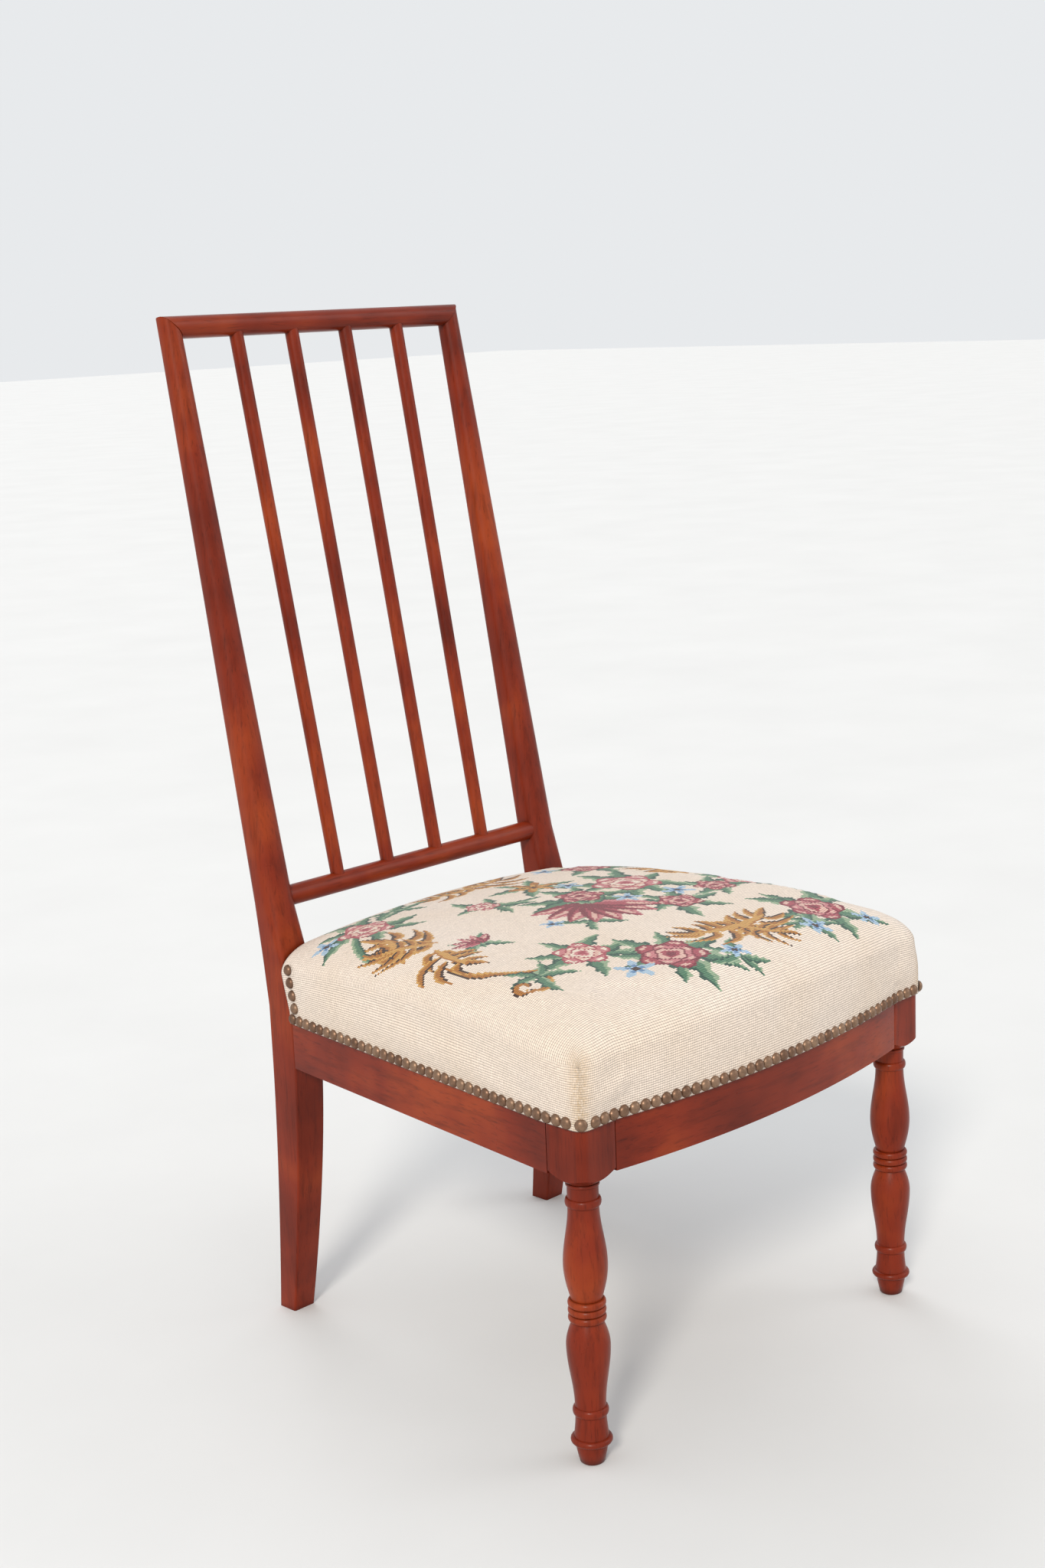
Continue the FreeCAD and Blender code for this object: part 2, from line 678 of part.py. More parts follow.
def front_seat_rail(label):
    body = new_body(label)
    inner = f"{BLOCK_FRONT} + rail_thickness"
    plan = new_sketch(body, f"{label}_plan", "XY_Plane", {"z": "rail_bottom"})
    draw(plan, (f"-{BLOCK_INNER}", BLOCK_FRONT), [
        (("0", f"{BLOCK_FRONT} - front_bow"), (BLOCK_INNER, BLOCK_FRONT)),
        ((BLOCK_INNER, inner),),
        ((f"-{BLOCK_INNER}", inner),),
        ((f"-{BLOCK_INNER}", BLOCK_FRONT),),
    ])
    pad(body, plan, "rail_height")
    middle = f"{BLOCK_FRONT} + rail_thickness / 2"
    for side in (1, -1):
        block(body, "Additive", f"{label}_tenon_{side}",
              (f"{side} * ({BLOCK_INNER} + tenon_length / 2)", middle, RAIL_MIDDLE),
              ("tenon_length", "tenon_thickness", TENON_HEIGHT))
    return body


def side_seat_rail(label, side):
    body = new_body(label)
    plan = new_sketch(body, f"{label}_plan", "XY_Plane", {"z": "rail_bottom"})
    polygon(plan, [
        (f"{side} * {BLOCK_OUTER}", BLOCK_REAR),
        (f"{side} * {POST_OUTER}", POST_FRONT),
        (f"{side} * ({POST_OUTER} - rail_thickness)", POST_FRONT),
        (f"{side} * ({BLOCK_OUTER} - rail_thickness)", BLOCK_REAR),
    ])
    pad(body, plan, "rail_height")
    for name, x, y in (("front", BLOCK_OUTER, f"{BLOCK_REAR} - tenon_length / 2"),
                       ("rear", POST_OUTER, f"{POST_FRONT} + tenon_length / 2")):
        block(body, "Additive", f"{label}_{name}_tenon",
              (f"{side} * ({x} - rail_thickness / 2)", y, RAIL_MIDDLE),
              ("tenon_thickness", "tenon_length", TENON_HEIGHT))
    return body


def back_seat_rail(label):
    body = new_body(label)
    middle = f"{BACK_RAIL_FRONT} + back_rail_thickness / 2"
    block(body, "Additive", f"{label}_board", ("0", middle, RAIL_MIDDLE),
          (f"2 * {POST_INNER}", "back_rail_thickness", "rail_height"))
    block(body, "Additive", f"{label}_tenons", ("0", middle, RAIL_MIDDLE),
          (f"2 * ({POST_INNER} + back_tenon_length)", "tenon_thickness", TENON_HEIGHT))
    return body


def corner_block(label, side, outline):
    body = new_body(label)
    plan = new_sketch(body, f"{label}_plan", "XY_Plane",
                      {"z": f"{RAIL_TOP} - corner_block_drop - corner_block_height"})
    polygon(plan, [(f"{side} * {x}", y) for x, y in outline])
    pad(body, plan, "corner_block_height")
    return body


def front_corner_outline():
    inner_y = f"({BLOCK_FRONT} + rail_thickness)"
    reach_y = f"({BLOCK_REAR} + corner_block_reach)"
    return [
        (BLOCK_INNER, inner_y),
        (f"({BLOCK_INNER} - corner_block_reach)", inner_y),
        (side_inner(reach_y), reach_y),
        (side_inner(BLOCK_REAR), BLOCK_REAR),
        (BLOCK_INNER, BLOCK_REAR),
    ]


def rear_corner_outline():
    reach_y = f"({POST_FRONT} - corner_block_reach)"
    return [
        (side_inner(POST_FRONT), POST_FRONT),
        (side_inner(reach_y), reach_y),
        (f"({POST_INNER} - corner_block_reach)", BACK_RAIL_FRONT),
        (POST_INNER, BACK_RAIL_FRONT),
        (POST_INNER, POST_FRONT),
    ]


# Webbing and hessian

def strap(low, high, crossings, along_y, middle):
    """Strap on the rails: it rises over and dips under the straps it crosses."""
    thick, width = value("webbing_thickness"), value("webbing_width")
    level = value(RAIL_TOP) + thick / 2
    lift = (thick + value("webbing_gap")) / 2
    rest = value("rail_thickness - webbing_margin")
    line = [(low, level), (low + rest, level)]
    for centre, over in crossings:
        height = level + lift if over else level - lift
        line += [(centre - width / 2, height), (centre + width / 2, height)]
    line += [(high - rest, level), (high, level)]
    rim = [(run, z + thick / 2) for run, z in line] + [(run, z - thick / 2) for run, z in reversed(line)]
    edge = middle - width / 2
    points = [Vector(edge, run, z) if along_y else Vector(run, edge, z) for run, z in rim]
    face = Part.Face(Part.makePolygon(points + points[:1]))
    return face.extrude(Vector(width, 0, 0) if along_y else Vector(0, width, 0))


def strap_places(count, pitch):
    return [(number - (count - 1) / 2) * value(pitch) for number in range(count)]


def webbing_rows():
    """X of the straps front to back, and Y of the straps side to side."""
    centre = (value(BLOCK_FRONT) + value(BACK_RAIL_FRONT)) / 2
    across = strap_places(LONG_STRAP_COUNT, "webbing_pitch_across")
    return across, [centre + step for step in strap_places(CROSS_STRAP_COUNT, "webbing_pitch_along")]


def webbing_lengthwise(label):
    xs, ys = webbing_rows()
    front, rear = value(f"{BLOCK_FRONT} + webbing_margin"), value(f"{BACK_RAIL_REAR} - webbing_margin")
    straps = []
    for number, x in enumerate(xs):
        crossings = [(y, (number + row) % 2 == 0) for row, y in enumerate(ys)]
        straps.append(strap(front, rear, crossings, True, x))
    return solids_node(label, straps)


def webbing_crosswise(label):
    xs, ys = webbing_rows()
    straps = []
    for row, y in enumerate(ys):
        reach = value(f"{side_outer(y + value('webbing_width') / 2)} - webbing_margin")
        crossings = [(x, (number + row) % 2 == 1) for number, x in enumerate(xs)]
        straps.append(strap(-reach, reach, crossings, False, y))
    return solids_node(label, straps)


def hessian(label):
    body = new_body(label)
    plan = new_sketch(body, f"{label}_plan", "XY_Plane", {"z": WEBBING_TOP})
    front, rear = f"{BLOCK_FRONT} + webbing_margin", f"{BACK_RAIL_REAR} - webbing_margin"
    post_y = f"({POST_FRONT} - webbing_margin)"
    half = [
        (f"({BLOCK_OUTER} - webbing_margin)", front),
        (f"({BLOCK_OUTER} - webbing_margin)", BLOCK_REAR),
        (f"({side_outer(post_y)} - webbing_margin)", post_y),
        (f"({POST_INNER} - webbing_margin)", post_y),
        (f"({POST_INNER} - webbing_margin)", rear),
    ]
    polygon(plan, half + [(f"-1 * {x}", y) for x, y in reversed(half)])
    pad(body, plan, "hessian_thickness")
    return body


# Stuffed seat

def seat_outline(grow, bulge, corner):
    """Plan of the seat: bowed front, rounded front corners and sides that taper to the posts.
    The swell of the walls is given by its bulge, and grow moves all of the outline."""
    side, front = f"({BLOCK_OUTER} + {grow} + {bulge})", f"({BLOCK_FRONT} - {grow} - {bulge})"
    post, back = f"({POST_OUTER} + {grow})", f"({BACK_RAIL_REAR} + {grow})"
    bend = f"({corner} * (1 - sqrt(0.5)))"
    right = [
        ((f"{side} - {corner}", front),),
        ((f"{side} - {bend}", f"{front} + {bend}"), (side, f"{front} + {corner}")),
        ((side, BLOCK_REAR),),
        ((post, POST_FRONT),),
        ((post, back),),
    ]
    left = [
        ((f"-{post}", back),),
        ((f"-{post}", POST_FRONT),),
        ((f"-{side}", BLOCK_REAR),),
        ((f"-{side}", f"{front} + {corner}"),),
        ((f"-{side} + {bend}", f"{front} + {bend}"), (f"-{side} + {corner}", front)),
        ((f"-{BLOCK_INNER}", front),),
    ]
    bow = (("0", f"{front} - front_bow"), (BLOCK_INNER, front))
    return (f"-{BLOCK_INNER}", front), [bow] + right + left


def seat_form(label, inset, bottom, notch_bottom):
    """Seat solid drawn in by an inset: an upright hem, walls that swell, and a crowned top."""
    body = new_body(label)

    def section(name, z, out, bulge, corner):
        sketch = new_sketch(body, f"{label}_{name}", "XY_Plane", {"z": z})
        draw(sketch, *seat_outline(out, bulge, corner))
        return sketch

    grow = f"({HEM_OFFSET} - {inset})"
    tight, full = f"(leg_block_round + {grow})", f"(seat_corner_round - {inset})"
    foot = f"({RAIL_TOP} + hem_lift)"
    pad(body, section("hem", bottom, grow, "0", tight), f"{foot} - {bottom}")
    peak = f"({RAIL_TOP} + seat_crown_height - {inset})"
    drawn_in = f"({grow} - seat_shoulder_lean)"
    loft(body, [
        section("foot", foot, grow, "0", tight),
        section("swell", f"({RAIL_TOP} + seat_swell_height)", grow, "seat_bulge", full),
        section("shoulder", f"({RAIL_TOP} + seat_shoulder_height - {inset})", grow, "seat_bulge", full),
        section("top", f"({peak} + overrun)", drawn_in, "seat_bulge", full),
    ])
    crown_cut(body, peak)
    for side in (1, -1):
        post_notch(body, side, f"(layer_gap + {inset})", notch_bottom)
    return body


def crown_cut(body, peak):
    """Take off what stands above the crown: an arc along the seat, swept across it about a low axis."""
    axis = f"({peak} - crown_side_radius)"
    sketch = new_sketch(body, f"{body.Name}_crown", "YZ_Plane", {"y": axis})
    low, high = f"({BLOCK_FRONT} - front_bow - 2 * overrun)", f"({BACK_RAIL_REAR} + 2 * overrun)"
    lift = "(crown_side_radius + seat_crown_height)"

    def on_arc(y):
        fall = f"(crown_length_radius - sqrt(crown_length_radius ^ 2 - ({y} - {CROWN_PEAK}) ^ 2))"
        return (y, f"(crown_side_radius - {fall})")

    draw(sketch, on_arc(low), [
        ((CROWN_PEAK, "crown_side_radius"), on_arc(high)),
        ((high, lift),),
        ((low, lift),),
        (on_arc(low),),
    ])
    groove = body.newObject("PartDesign::Groove", f"{body.Name}_crown_groove")
    groove.Profile = sketch
    groove.ReferenceAxis = (sketch, ["H_Axis"])
    groove.Midplane = True
    bind(groove, "Angle", f"2 * asin(({BLOCK_OUTER} + front_bow) / crown_side_radius)")


def post_notch(body, side, gap, bottom):
    """Room for a rear post: a slot whose front falls back as the post does."""
    inner = f"{side} * ({POST_INNER} - {gap})"
    outer = f"{side} * ({POST_OUTER} + seat_bulge + overrun)"
    rear = f"({POST_Y} + seat_crown_height)"
    rows = []
    fall = f"{POST_RECEDE_SHARE} * (seat_crown_height + overrun)"
    for name, z, back in (("low", bottom, "0"), ("rail", f"({RAIL_TOP} + hem_gap)", "0"),
                          ("high", f"({RAIL_TOP} + seat_crown_height + overrun)", fall)):
        sketch = new_sketch(body, f"{body.Name}_notch_{name}_{side}", "XY_Plane", {"z": z})
        front = f"({POST_FRONT} - {gap} + {back})"
        polygon(sketch, [(inner, front), (outer, front), (outer, rear), (inner, rear)])
        rows.append(sketch)
    loft(body, rows, "SubtractiveLoft")


def needlepoint_cover(label):
    below = f"({HEM_BOTTOM} - overrun)"
    outside = seat_form(f"{label}_outside", "0", HEM_BOTTOM, below)
    inside = seat_form(f"{label}_inside", "cover_thickness", below, f"({RAIL_TOP} + hem_gap / 2)")
    return cut(label, outside, inside)


def hair_stuffing(label):
    bottom = f"({HESSIAN_TOP} + layer_gap)"
    return seat_form(label, "(cover_thickness + layer_gap)", bottom, f"({HEM_BOTTOM} - overrun)")


# Nails

def nail(point, out):
    """Domed nail head seated at a point, with its crown along the outward direction."""
    turns = [2 * math.pi * step / NAIL_SIDES for step in range(NAIL_SIDES)]
    rings = []
    for wide, high in NAIL_DOME_SHARES:
        radius, z = wide * value("nail_diameter") / 2, high * value("nail_height")
        rings.append([Vector(radius * math.cos(turn), radius * math.sin(turn), z) for turn in turns])
    outlines = [rings[0], rings[-1]]
    for lower, upper in zip(rings, rings[1:]):
        outlines += [[lower[k - 1], lower[k], upper[k], upper[k - 1]] for k in range(NAIL_SIDES)]
    faces = [Part.Face(Part.makePolygon(outline + outline[:1])) for outline in outlines]
    head = Part.Solid(Part.Shell(faces))
    seat = point + out * value("glue_gap")
    head.Placement = FreeCAD.Placement(seat, FreeCAD.Rotation(Vector(0, 0, 1), out))
    return head


def even_steps(low, high):
    """Nail places between two ends, spread evenly at about the nail pitch."""
    count = max(1, round((high - low) / value("nail_pitch")))
    return [low + (number + 0.5) * (high - low) / count for number in range(count)]


def nails_front(label):
    """Row along the bowed front, with one nail on each rounded front corner."""
    z, chord, bow = value(NAIL_LEVEL), value(BLOCK_INNER), value("front_bow")
    face, corner = value(f"{BLOCK_FRONT} - {HEM_OFFSET}"), value(f"leg_block_round + {HEM_OFFSET}")
    radius = (chord ** 2 + bow ** 2) / (2 * bow)
    centre_y = face - bow + radius
    end = value(f"{BLOCK_OUTER} + {HEM_OFFSET}") - corner
    heads = []
    for x in even_steps(-end, end):
        if abs(x) < chord:
            out = Vector(x, -math.sqrt(radius ** 2 - x ** 2), 0).normalize()
            heads.append(nail(Vector(0, centre_y, z) + out * radius, out))
        else:
            heads.append(nail(Vector(x, face, z), Vector(0, -1, 0)))
    for side in (1, -1):
        out = Vector(side, -1, 0).normalize()
        heads.append(nail(Vector(side * end, face + corner, z) + out * corner, out))
    return solids_node(label, heads)


def side_spot(y):
    """X and outward direction of the cover's hem beside a side rail."""
    grow = value(HEM_OFFSET)
    if y < value(BLOCK_REAR):
        return value(BLOCK_OUTER) + grow, Vector(1, 0, 0)
    across, along = value(f"{POST_OUTER} - {BLOCK_OUTER}"), value(f"{POST_FRONT} - {BLOCK_REAR}")
    run = Vector(across, along, 0).normalize()
    return value(side_outer(y)) + grow, Vector(run.y, -run.x, 0)


def mirrored_x(side, point):
    return Vector(side * point.x, point.y, point.z)


def nails_side(label, side):
    z = value(NAIL_LEVEL)
    low = value(f"{BLOCK_FRONT} + leg_block_round")
    high = value(f"{POST_FRONT} - layer_gap")
    heads = []
    for y in even_steps(low, high):
        x, out = side_spot(y)
        heads.append(nail(Vector(side * x, y, z), mirrored_x(side, out)))
    return solids_node(label, heads)


def nails_post(label, side):
    """Short upright row on the seat's side where it meets a rear post."""
    low = value(f"{NAIL_LEVEL} + nail_pitch / 2")
    heads = []
    for z in even_steps(low, value(f"{RAIL_TOP} + post_nail_reach")):
        fall = max(0, z - value(RAIL_TOP)) * POST_RECEDE_SHARE
        y = value(f"{POST_FRONT} - layer_gap - nail_pitch") + fall
        x, out = side_spot(min(y, value(POST_FRONT)))
        heads.append(nail(Vector(side * (x + 2 * value("hem_gap")), y, z), mirrored_x(side, out)))
    return solids_node(label, heads)


def nails_back(label):
    y, z = value(f"{BACK_RAIL_REAR} + {HEM_OFFSET}"), value(NAIL_LEVEL)
    end = value(f"{POST_INNER} - layer_gap")
    return solids_node(label, [nail(Vector(x, y, z), Vector(0, 1, 0)) for x in even_steps(-end, end)])


def build():
    fill_sheet()
    left, right = 1, -1
    posts = [rear_post("rear_post_left", left), rear_post("rear_post_right", right)]
    nodes = posts + [
        front_leg("front_leg_left", left),
        front_leg("front_leg_right", right),
        front_seat_rail("front_seat_rail"),
        side_seat_rail("side_seat_rail_left", left),
        side_seat_rail("side_seat_rail_right", right),
        back_seat_rail("back_seat_rail"),
        corner_block("corner_block_front_left", left, front_corner_outline()),
        corner_block("corner_block_front_right", right, front_corner_outline()),
        corner_block("corner_block_rear_left", left, rear_corner_outline()),
        corner_block("corner_block_rear_right", right, rear_corner_outline()),
        crest_rail("crest_rail"),
        mitre_dowels("mitre_dowels"),
        lower_back_rail("lower_back_rail", posts),
        *[spindle(f"spindle_{number + 1}", number) for number in range(SPINDLE_COUNT)],
        webbing_lengthwise("webbing_lengthwise"),
        webbing_crosswise("webbing_crosswise"),
        hessian("hessian_base"),
        hair_stuffing("hair_stuffing"),
        needlepoint_cover("needlepoint_cover"),
        nails_front("nails_front"),
        nails_side("nails_left", left),
        nails_side("nails_right", right),
        nails_back("nails_back"),
        nails_post("nails_post_left", left),
        nails_post("nails_post_right", right),
    ]
    doc.recompute()
    return nodes


def write(nodes):
    failed = [item.Label for item in doc.Objects if {"Invalid", "Error"} & set(item.State)]
    failed += [node.Label for node in nodes if node.Shape.isNull() or not node.Shape.isValid()]
    if failed:
        raise RuntimeError(f"pieces that did not build: {failed}")
    os.makedirs("parts", exist_ok=True)
    for node in nodes:
        node.Shape.exportStep(f"parts/{node.Label}.step")
        box = node.Shape.BoundBox
        print(f"{node.Label}: {len(node.Shape.Solids)} solids, {node.Shape.Volume / 1000:.1f} cm3,",
              f"{box.XLength:.1f} x {box.YLength:.1f} x {box.ZLength:.1f}")


write(build())
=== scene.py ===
import math

import bmesh
import bpy
import numpy as np
from mathutils import Matrix, Vector, noise
from mathutils.kdtree import KDTree


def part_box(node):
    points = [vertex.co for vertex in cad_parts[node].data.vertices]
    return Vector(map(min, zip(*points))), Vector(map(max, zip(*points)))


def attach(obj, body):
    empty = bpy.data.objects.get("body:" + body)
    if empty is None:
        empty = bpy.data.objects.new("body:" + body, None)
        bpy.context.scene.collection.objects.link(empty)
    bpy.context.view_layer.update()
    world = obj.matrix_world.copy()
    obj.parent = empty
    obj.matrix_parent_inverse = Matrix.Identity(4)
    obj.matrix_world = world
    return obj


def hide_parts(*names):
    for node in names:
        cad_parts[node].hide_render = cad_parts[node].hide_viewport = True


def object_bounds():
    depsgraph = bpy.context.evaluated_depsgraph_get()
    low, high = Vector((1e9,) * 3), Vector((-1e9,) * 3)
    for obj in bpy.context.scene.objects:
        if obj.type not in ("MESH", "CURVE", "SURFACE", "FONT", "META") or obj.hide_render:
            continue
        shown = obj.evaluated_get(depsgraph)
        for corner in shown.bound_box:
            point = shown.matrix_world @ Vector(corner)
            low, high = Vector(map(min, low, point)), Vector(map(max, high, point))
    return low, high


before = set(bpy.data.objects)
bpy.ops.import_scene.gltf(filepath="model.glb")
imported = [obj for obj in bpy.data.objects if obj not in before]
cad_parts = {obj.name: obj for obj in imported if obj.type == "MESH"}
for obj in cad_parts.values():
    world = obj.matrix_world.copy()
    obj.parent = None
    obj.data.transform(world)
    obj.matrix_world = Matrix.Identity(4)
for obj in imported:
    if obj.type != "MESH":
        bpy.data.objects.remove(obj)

# Low nursing chair: metres, Z up, the front faces -Y. Places come from the frame's nodes.

CAD_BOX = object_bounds()
SIDES = {"left": 1, "right": -1}

# Photograph: picture height and focal length in pixels, and the eye in degrees and metres
IMAGE_HEIGHT = 2048
FOCAL_PIXELS = 2945
SENSOR_MM = 36
EYE_AZIMUTH, EYE_ELEVATION, EYE_ROLL = -45.03, 12.08, -2.39
EYE = Vector((-1.4133, -1.3917, 0.9203))

# Seat frame, from the nodes. The rear blocks stand against the front of the back rail.
LEG_LOW, LEG_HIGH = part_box("front_leg_left")
POST_LOW, POST_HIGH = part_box("rear_post_left")
COVER_LOW, COVER_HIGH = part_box("needlepoint_cover")
RAIL_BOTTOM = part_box("front_seat_rail")[0].z
RAIL_TOP = LEG_HIGH.z
BACK_RAIL_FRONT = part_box("corner_block_rear_left")[1].y
BACK_RAIL_SETBACK = 0.006
POST_FRONT = BACK_RAIL_FRONT - BACK_RAIL_SETBACK
SEAT_FRONT = LEG_LOW.y
SEAT_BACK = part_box("back_seat_rail")[1].y
FRONT_BOW = SEAT_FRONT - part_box("front_seat_rail")[0].y

# Stuffed seat: the cover stands out from the rails by a grow, and above the hem by a bulge too
STITCH = 0.0021
COVER_THICKNESS = 0.0018
HEM_GROW, SEAT_BULGE = 0.0024, 0.0020
TOP_GROW = HEM_GROW + SEAT_BULGE
SWELL_HEIGHT = 0.026
BULGE_FADE = 0.06
HEM_CORNER, TOP_CORNER = 0.0104, 0.026
RIM_REACH, RIM_DROP, RIM_BLEND, RIM_STEPS = 0.046, 0.023, 0.4, 90
CROWN_PEAK_DEPTH = 0.172
CROWN_SIDE_RADIUS, CROWN_LENGTH_RADIUS = 2.066, 1.429
# Cut round the rear posts, leaning with them, and the cover turned down there, inset by stitches
POST_GAP = 0.0004
POST_RECEDE = 0.225
NOTCH_X = POST_LOW.x - POST_GAP
LINING_DEPTH, LINING_INSET = 0.03, 2
# Cloth run that lets the stuffing swell the cover between its nails
CLOTH_PITCH, CLOTH_FRAMES, CLOTH_PRESSURE, CLOTH_CAP = 0.0085, 20, 4, 0.003
CLOTH_NEIGHBOURS, CLOTH_BLUR = 6, CLOTH_PITCH / 4
# Rounding of the two front ridges, then shallow unevenness all over
SOFTEN_REACH, SOFTEN_STEPS, SOFTEN_FACTOR = 0.034, 14, 0.5
SLACK, SLACK_SCALE = 0.0007, 14

# Gap that a weld closes, and least divisor
WELD, TINY = 1e-5, 1e-6


# Small tools

def link(name, data, material=None):
    """Put a mesh, lamp or camera into the scene."""
    piece = bpy.data.objects.new(name, data)
    bpy.context.scene.collection.objects.link(piece)
    if material:
        data.materials.append(material)
    return piece


def smooth(mesh, sharp_degrees=None):
    """Smooth shading, with edges sharper than an angle left hard."""
    mesh.polygons.foreach_set("use_smooth", [True] * len(mesh.polygons))
    if sharp_degrees:
        mesh.set_sharp_from_angle(angle=math.radians(sharp_degrees))


def weld(mesh):
    """Join points that meet, and let all faces look the same way."""
    shape = bmesh.new()
    shape.from_mesh(mesh)
    bmesh.ops.remove_doubles(shape, verts=shape.verts, dist=WELD)
    bmesh.ops.recalc_face_normals(shape, faces=shape.faces)
    shape.to_mesh(mesh)
    shape.free()


def mesh_of(name, points, faces):
    mesh = bpy.data.meshes.new(name)
    mesh.from_pydata([tuple(point) for point in points], [], faces)
    weld(mesh)
    return mesh


def thicken(piece, thickness, offset=0):
    """Give a sheet its thickness, half to each side unless offset."""
    shell = piece.modifiers.new("thickness", "SOLIDIFY")
    shell.thickness, shell.offset = thickness, offset


def tube_faces(rings, count):
    """Faces between rings of equal count, laid one after the other, closed by two end faces."""
    faces = []
    for ring in range(rings - 1):
        for step in range(count):
            low, high = ring * count + step, ring * count + (step + 1) % count
            faces.append((low, high, high + count, low + count))
    faces.append(tuple(reversed(range(count))))
    faces.append(tuple((rings - 1) * count + step for step in range(count)))
    return faces


def sheet_faces(rows, count):
    """Faces between open rows of equal count, laid one after the other."""
    starts = [row * count + step for row in range(rows - 1) for step in range(count - 1)]
    return [(start, start + 1, start + count + 1, start + count) for start in starts]


def ease(value):
    """Smooth step from 0 to 1."""
    value = np.clip(value, 0, 1)
    return value * value * (3 - 2 * value)


def spread(low, high, pitch):
    """Even steps from low to high at about a pitch."""
    return np.linspace(low, high, max(2, round((high - low) / pitch) + 1))


# The four corners of a rectangle by the signs of x and y, anticlockwise
QUARTERS = ((1, -1), (1, 1), (-1, 1), (-1, -1))


def rounded_ring(width, depth, corners):
    """Rectangle as offsets in x and y, its corners rounded by a radius in so many steps each."""
    ring = []
    for quarter, ((sign_x, sign_y), (radius, steps)) in enumerate(zip(QUARTERS, corners)):
        centre = Vector((sign_x * (width / 2 - radius), sign_y * (depth / 2 - radius)))
        for step in range(steps + 1):
            angle = math.radians(90 * (quarter - 1) + 90 * step / steps)
            ring.append(centre + radius * Vector((math.cos(angle), math.sin(angle))))
    return ring


# Materials: tones at places from 0 to 1 on their ramps

GRAIN_STRETCH = 0.07
STAINS = ((0.3, (0.115, 0.0115, 0.0035)), (0.5, (0.195, 0.0205, 0.0055)), (0.7, (0.300, 0.0440, 0.0085)))
BEECHES = ((0.3, (0.28, 0.17, 0.08)), (0.7, (0.42, 0.28, 0.15)))
BRONZES = ((0.0, (0.17, 0.092, 0.056)), (0.5, (0.23, 0.132, 0.082)), (1.0, (0.29, 0.18, 0.115)))
SOILS = ((0.25, (0.95, 0.90, 0.82)), (0.7, (1.0, 1.0, 1.0)))
PAINTS = ((0.3, (0.69, 0.69, 0.685)), (0.7, (0.72, 0.72, 0.715)))
# Fall of a stitch's ribs between stitches, in shares of their height, and their fullness; the relief
# also sets the painted shade between stitches
ACROSS_FALL, SLANT_FALL, RIB_POWER = 0.6, 0.3, 0.6


class Nodes:
    """Short-hand for building one node material."""

    def __init__(self, name):
        self.material = bpy.data.materials.new(name)
        self.material.use_nodes = True
        self.tree = self.material.node_tree
        self.shader = self.tree.nodes["Principled BSDF"]

    def add(self, kind, links=None, **settings):
        node = self.tree.nodes.new(kind)
        for key, setting in settings.items():
            setattr(node, key, setting)
        for socket, source in (links or {}).items():
            self.feed(node.inputs[socket], source)
        return node

    def feed(self, socket, source):
        if isinstance(source, bpy.types.NodeSocket):
            self.tree.links.new(source, socket)
        else:
            socket.default_value = source

    def set(self, **values):
        for name, source in values.items():
            label = name.replace("_", " ").title().replace("Ior", "IOR")
            self.feed(self.shader.inputs[label], source)

    def place(self, stretch=(1, 1, 1)):
        spot = self.add("ShaderNodeTexCoord").outputs["Object"]
        return self.add("ShaderNodeMapping", {"Vector": spot, "Scale": stretch}).outputs["Vector"]

    def noise(self, scale, detail=4.0, roughness=0.55, stretch=(1, 1, 1)):
        links = {"Vector": self.place(stretch), "Scale": scale, "Detail": detail, "Roughness": roughness}
        return self.add("ShaderNodeTexNoise", links).outputs["Fac"]

    def ramp(self, value, *stops):
        """Colours or greys at places from 0 to 1."""
        node = self.add("ShaderNodeValToRGB", {"Fac": value})
        elements = node.color_ramp.elements
        while len(elements) < len(stops):
            elements.new(0.5)
        for element, (place, tone) in zip(elements, stops):
            element.position = place
            element.color = (*tone, 1) if isinstance(tone, tuple) else (tone, tone, tone, 1)
        return node.outputs["Color"]

    def shade(self, colour, amount, value, *stops):
        """Colour multiplied by a ramp, as far as an amount from 0 to 1."""
        node = self.add("ShaderNodeMix", data_type="RGBA", blend_type="MULTIPLY")
        mask = self.ramp(value, *stops)
        for socket, source in (("Factor_Float", amount), ("A_Color", colour), ("B_Color", mask)):
            self.feed(next(item for item in node.inputs if item.identifier == socket), source)
        return next(item for item in node.outputs if item.identifier == "Result_Color")

    def math(self, kind, *sources):
        node = self.add("ShaderNodeMath", operation=kind)
        for socket, source in zip(node.inputs, sources):
            self.feed(socket, source)
        return node.outputs[0]

    def rib(self, value, fall=1.0):
        """Rounded rib over each whole step of a value, lower by a fall between the steps."""
        wave = self.math("ABSOLUTE", self.math("SINE", self.math("MULTIPLY", value, math.pi)))
        return self.math("MULTIPLY_ADD", self.math("POWER", wave, RIB_POWER), fall, 1 - fall)

    def bump(self, height, strength, distance):
        links = {"Height": height, "Strength": strength, "Distance": distance}
        self.set(normal=self.add("ShaderNodeBump", links).outputs["Normal"])


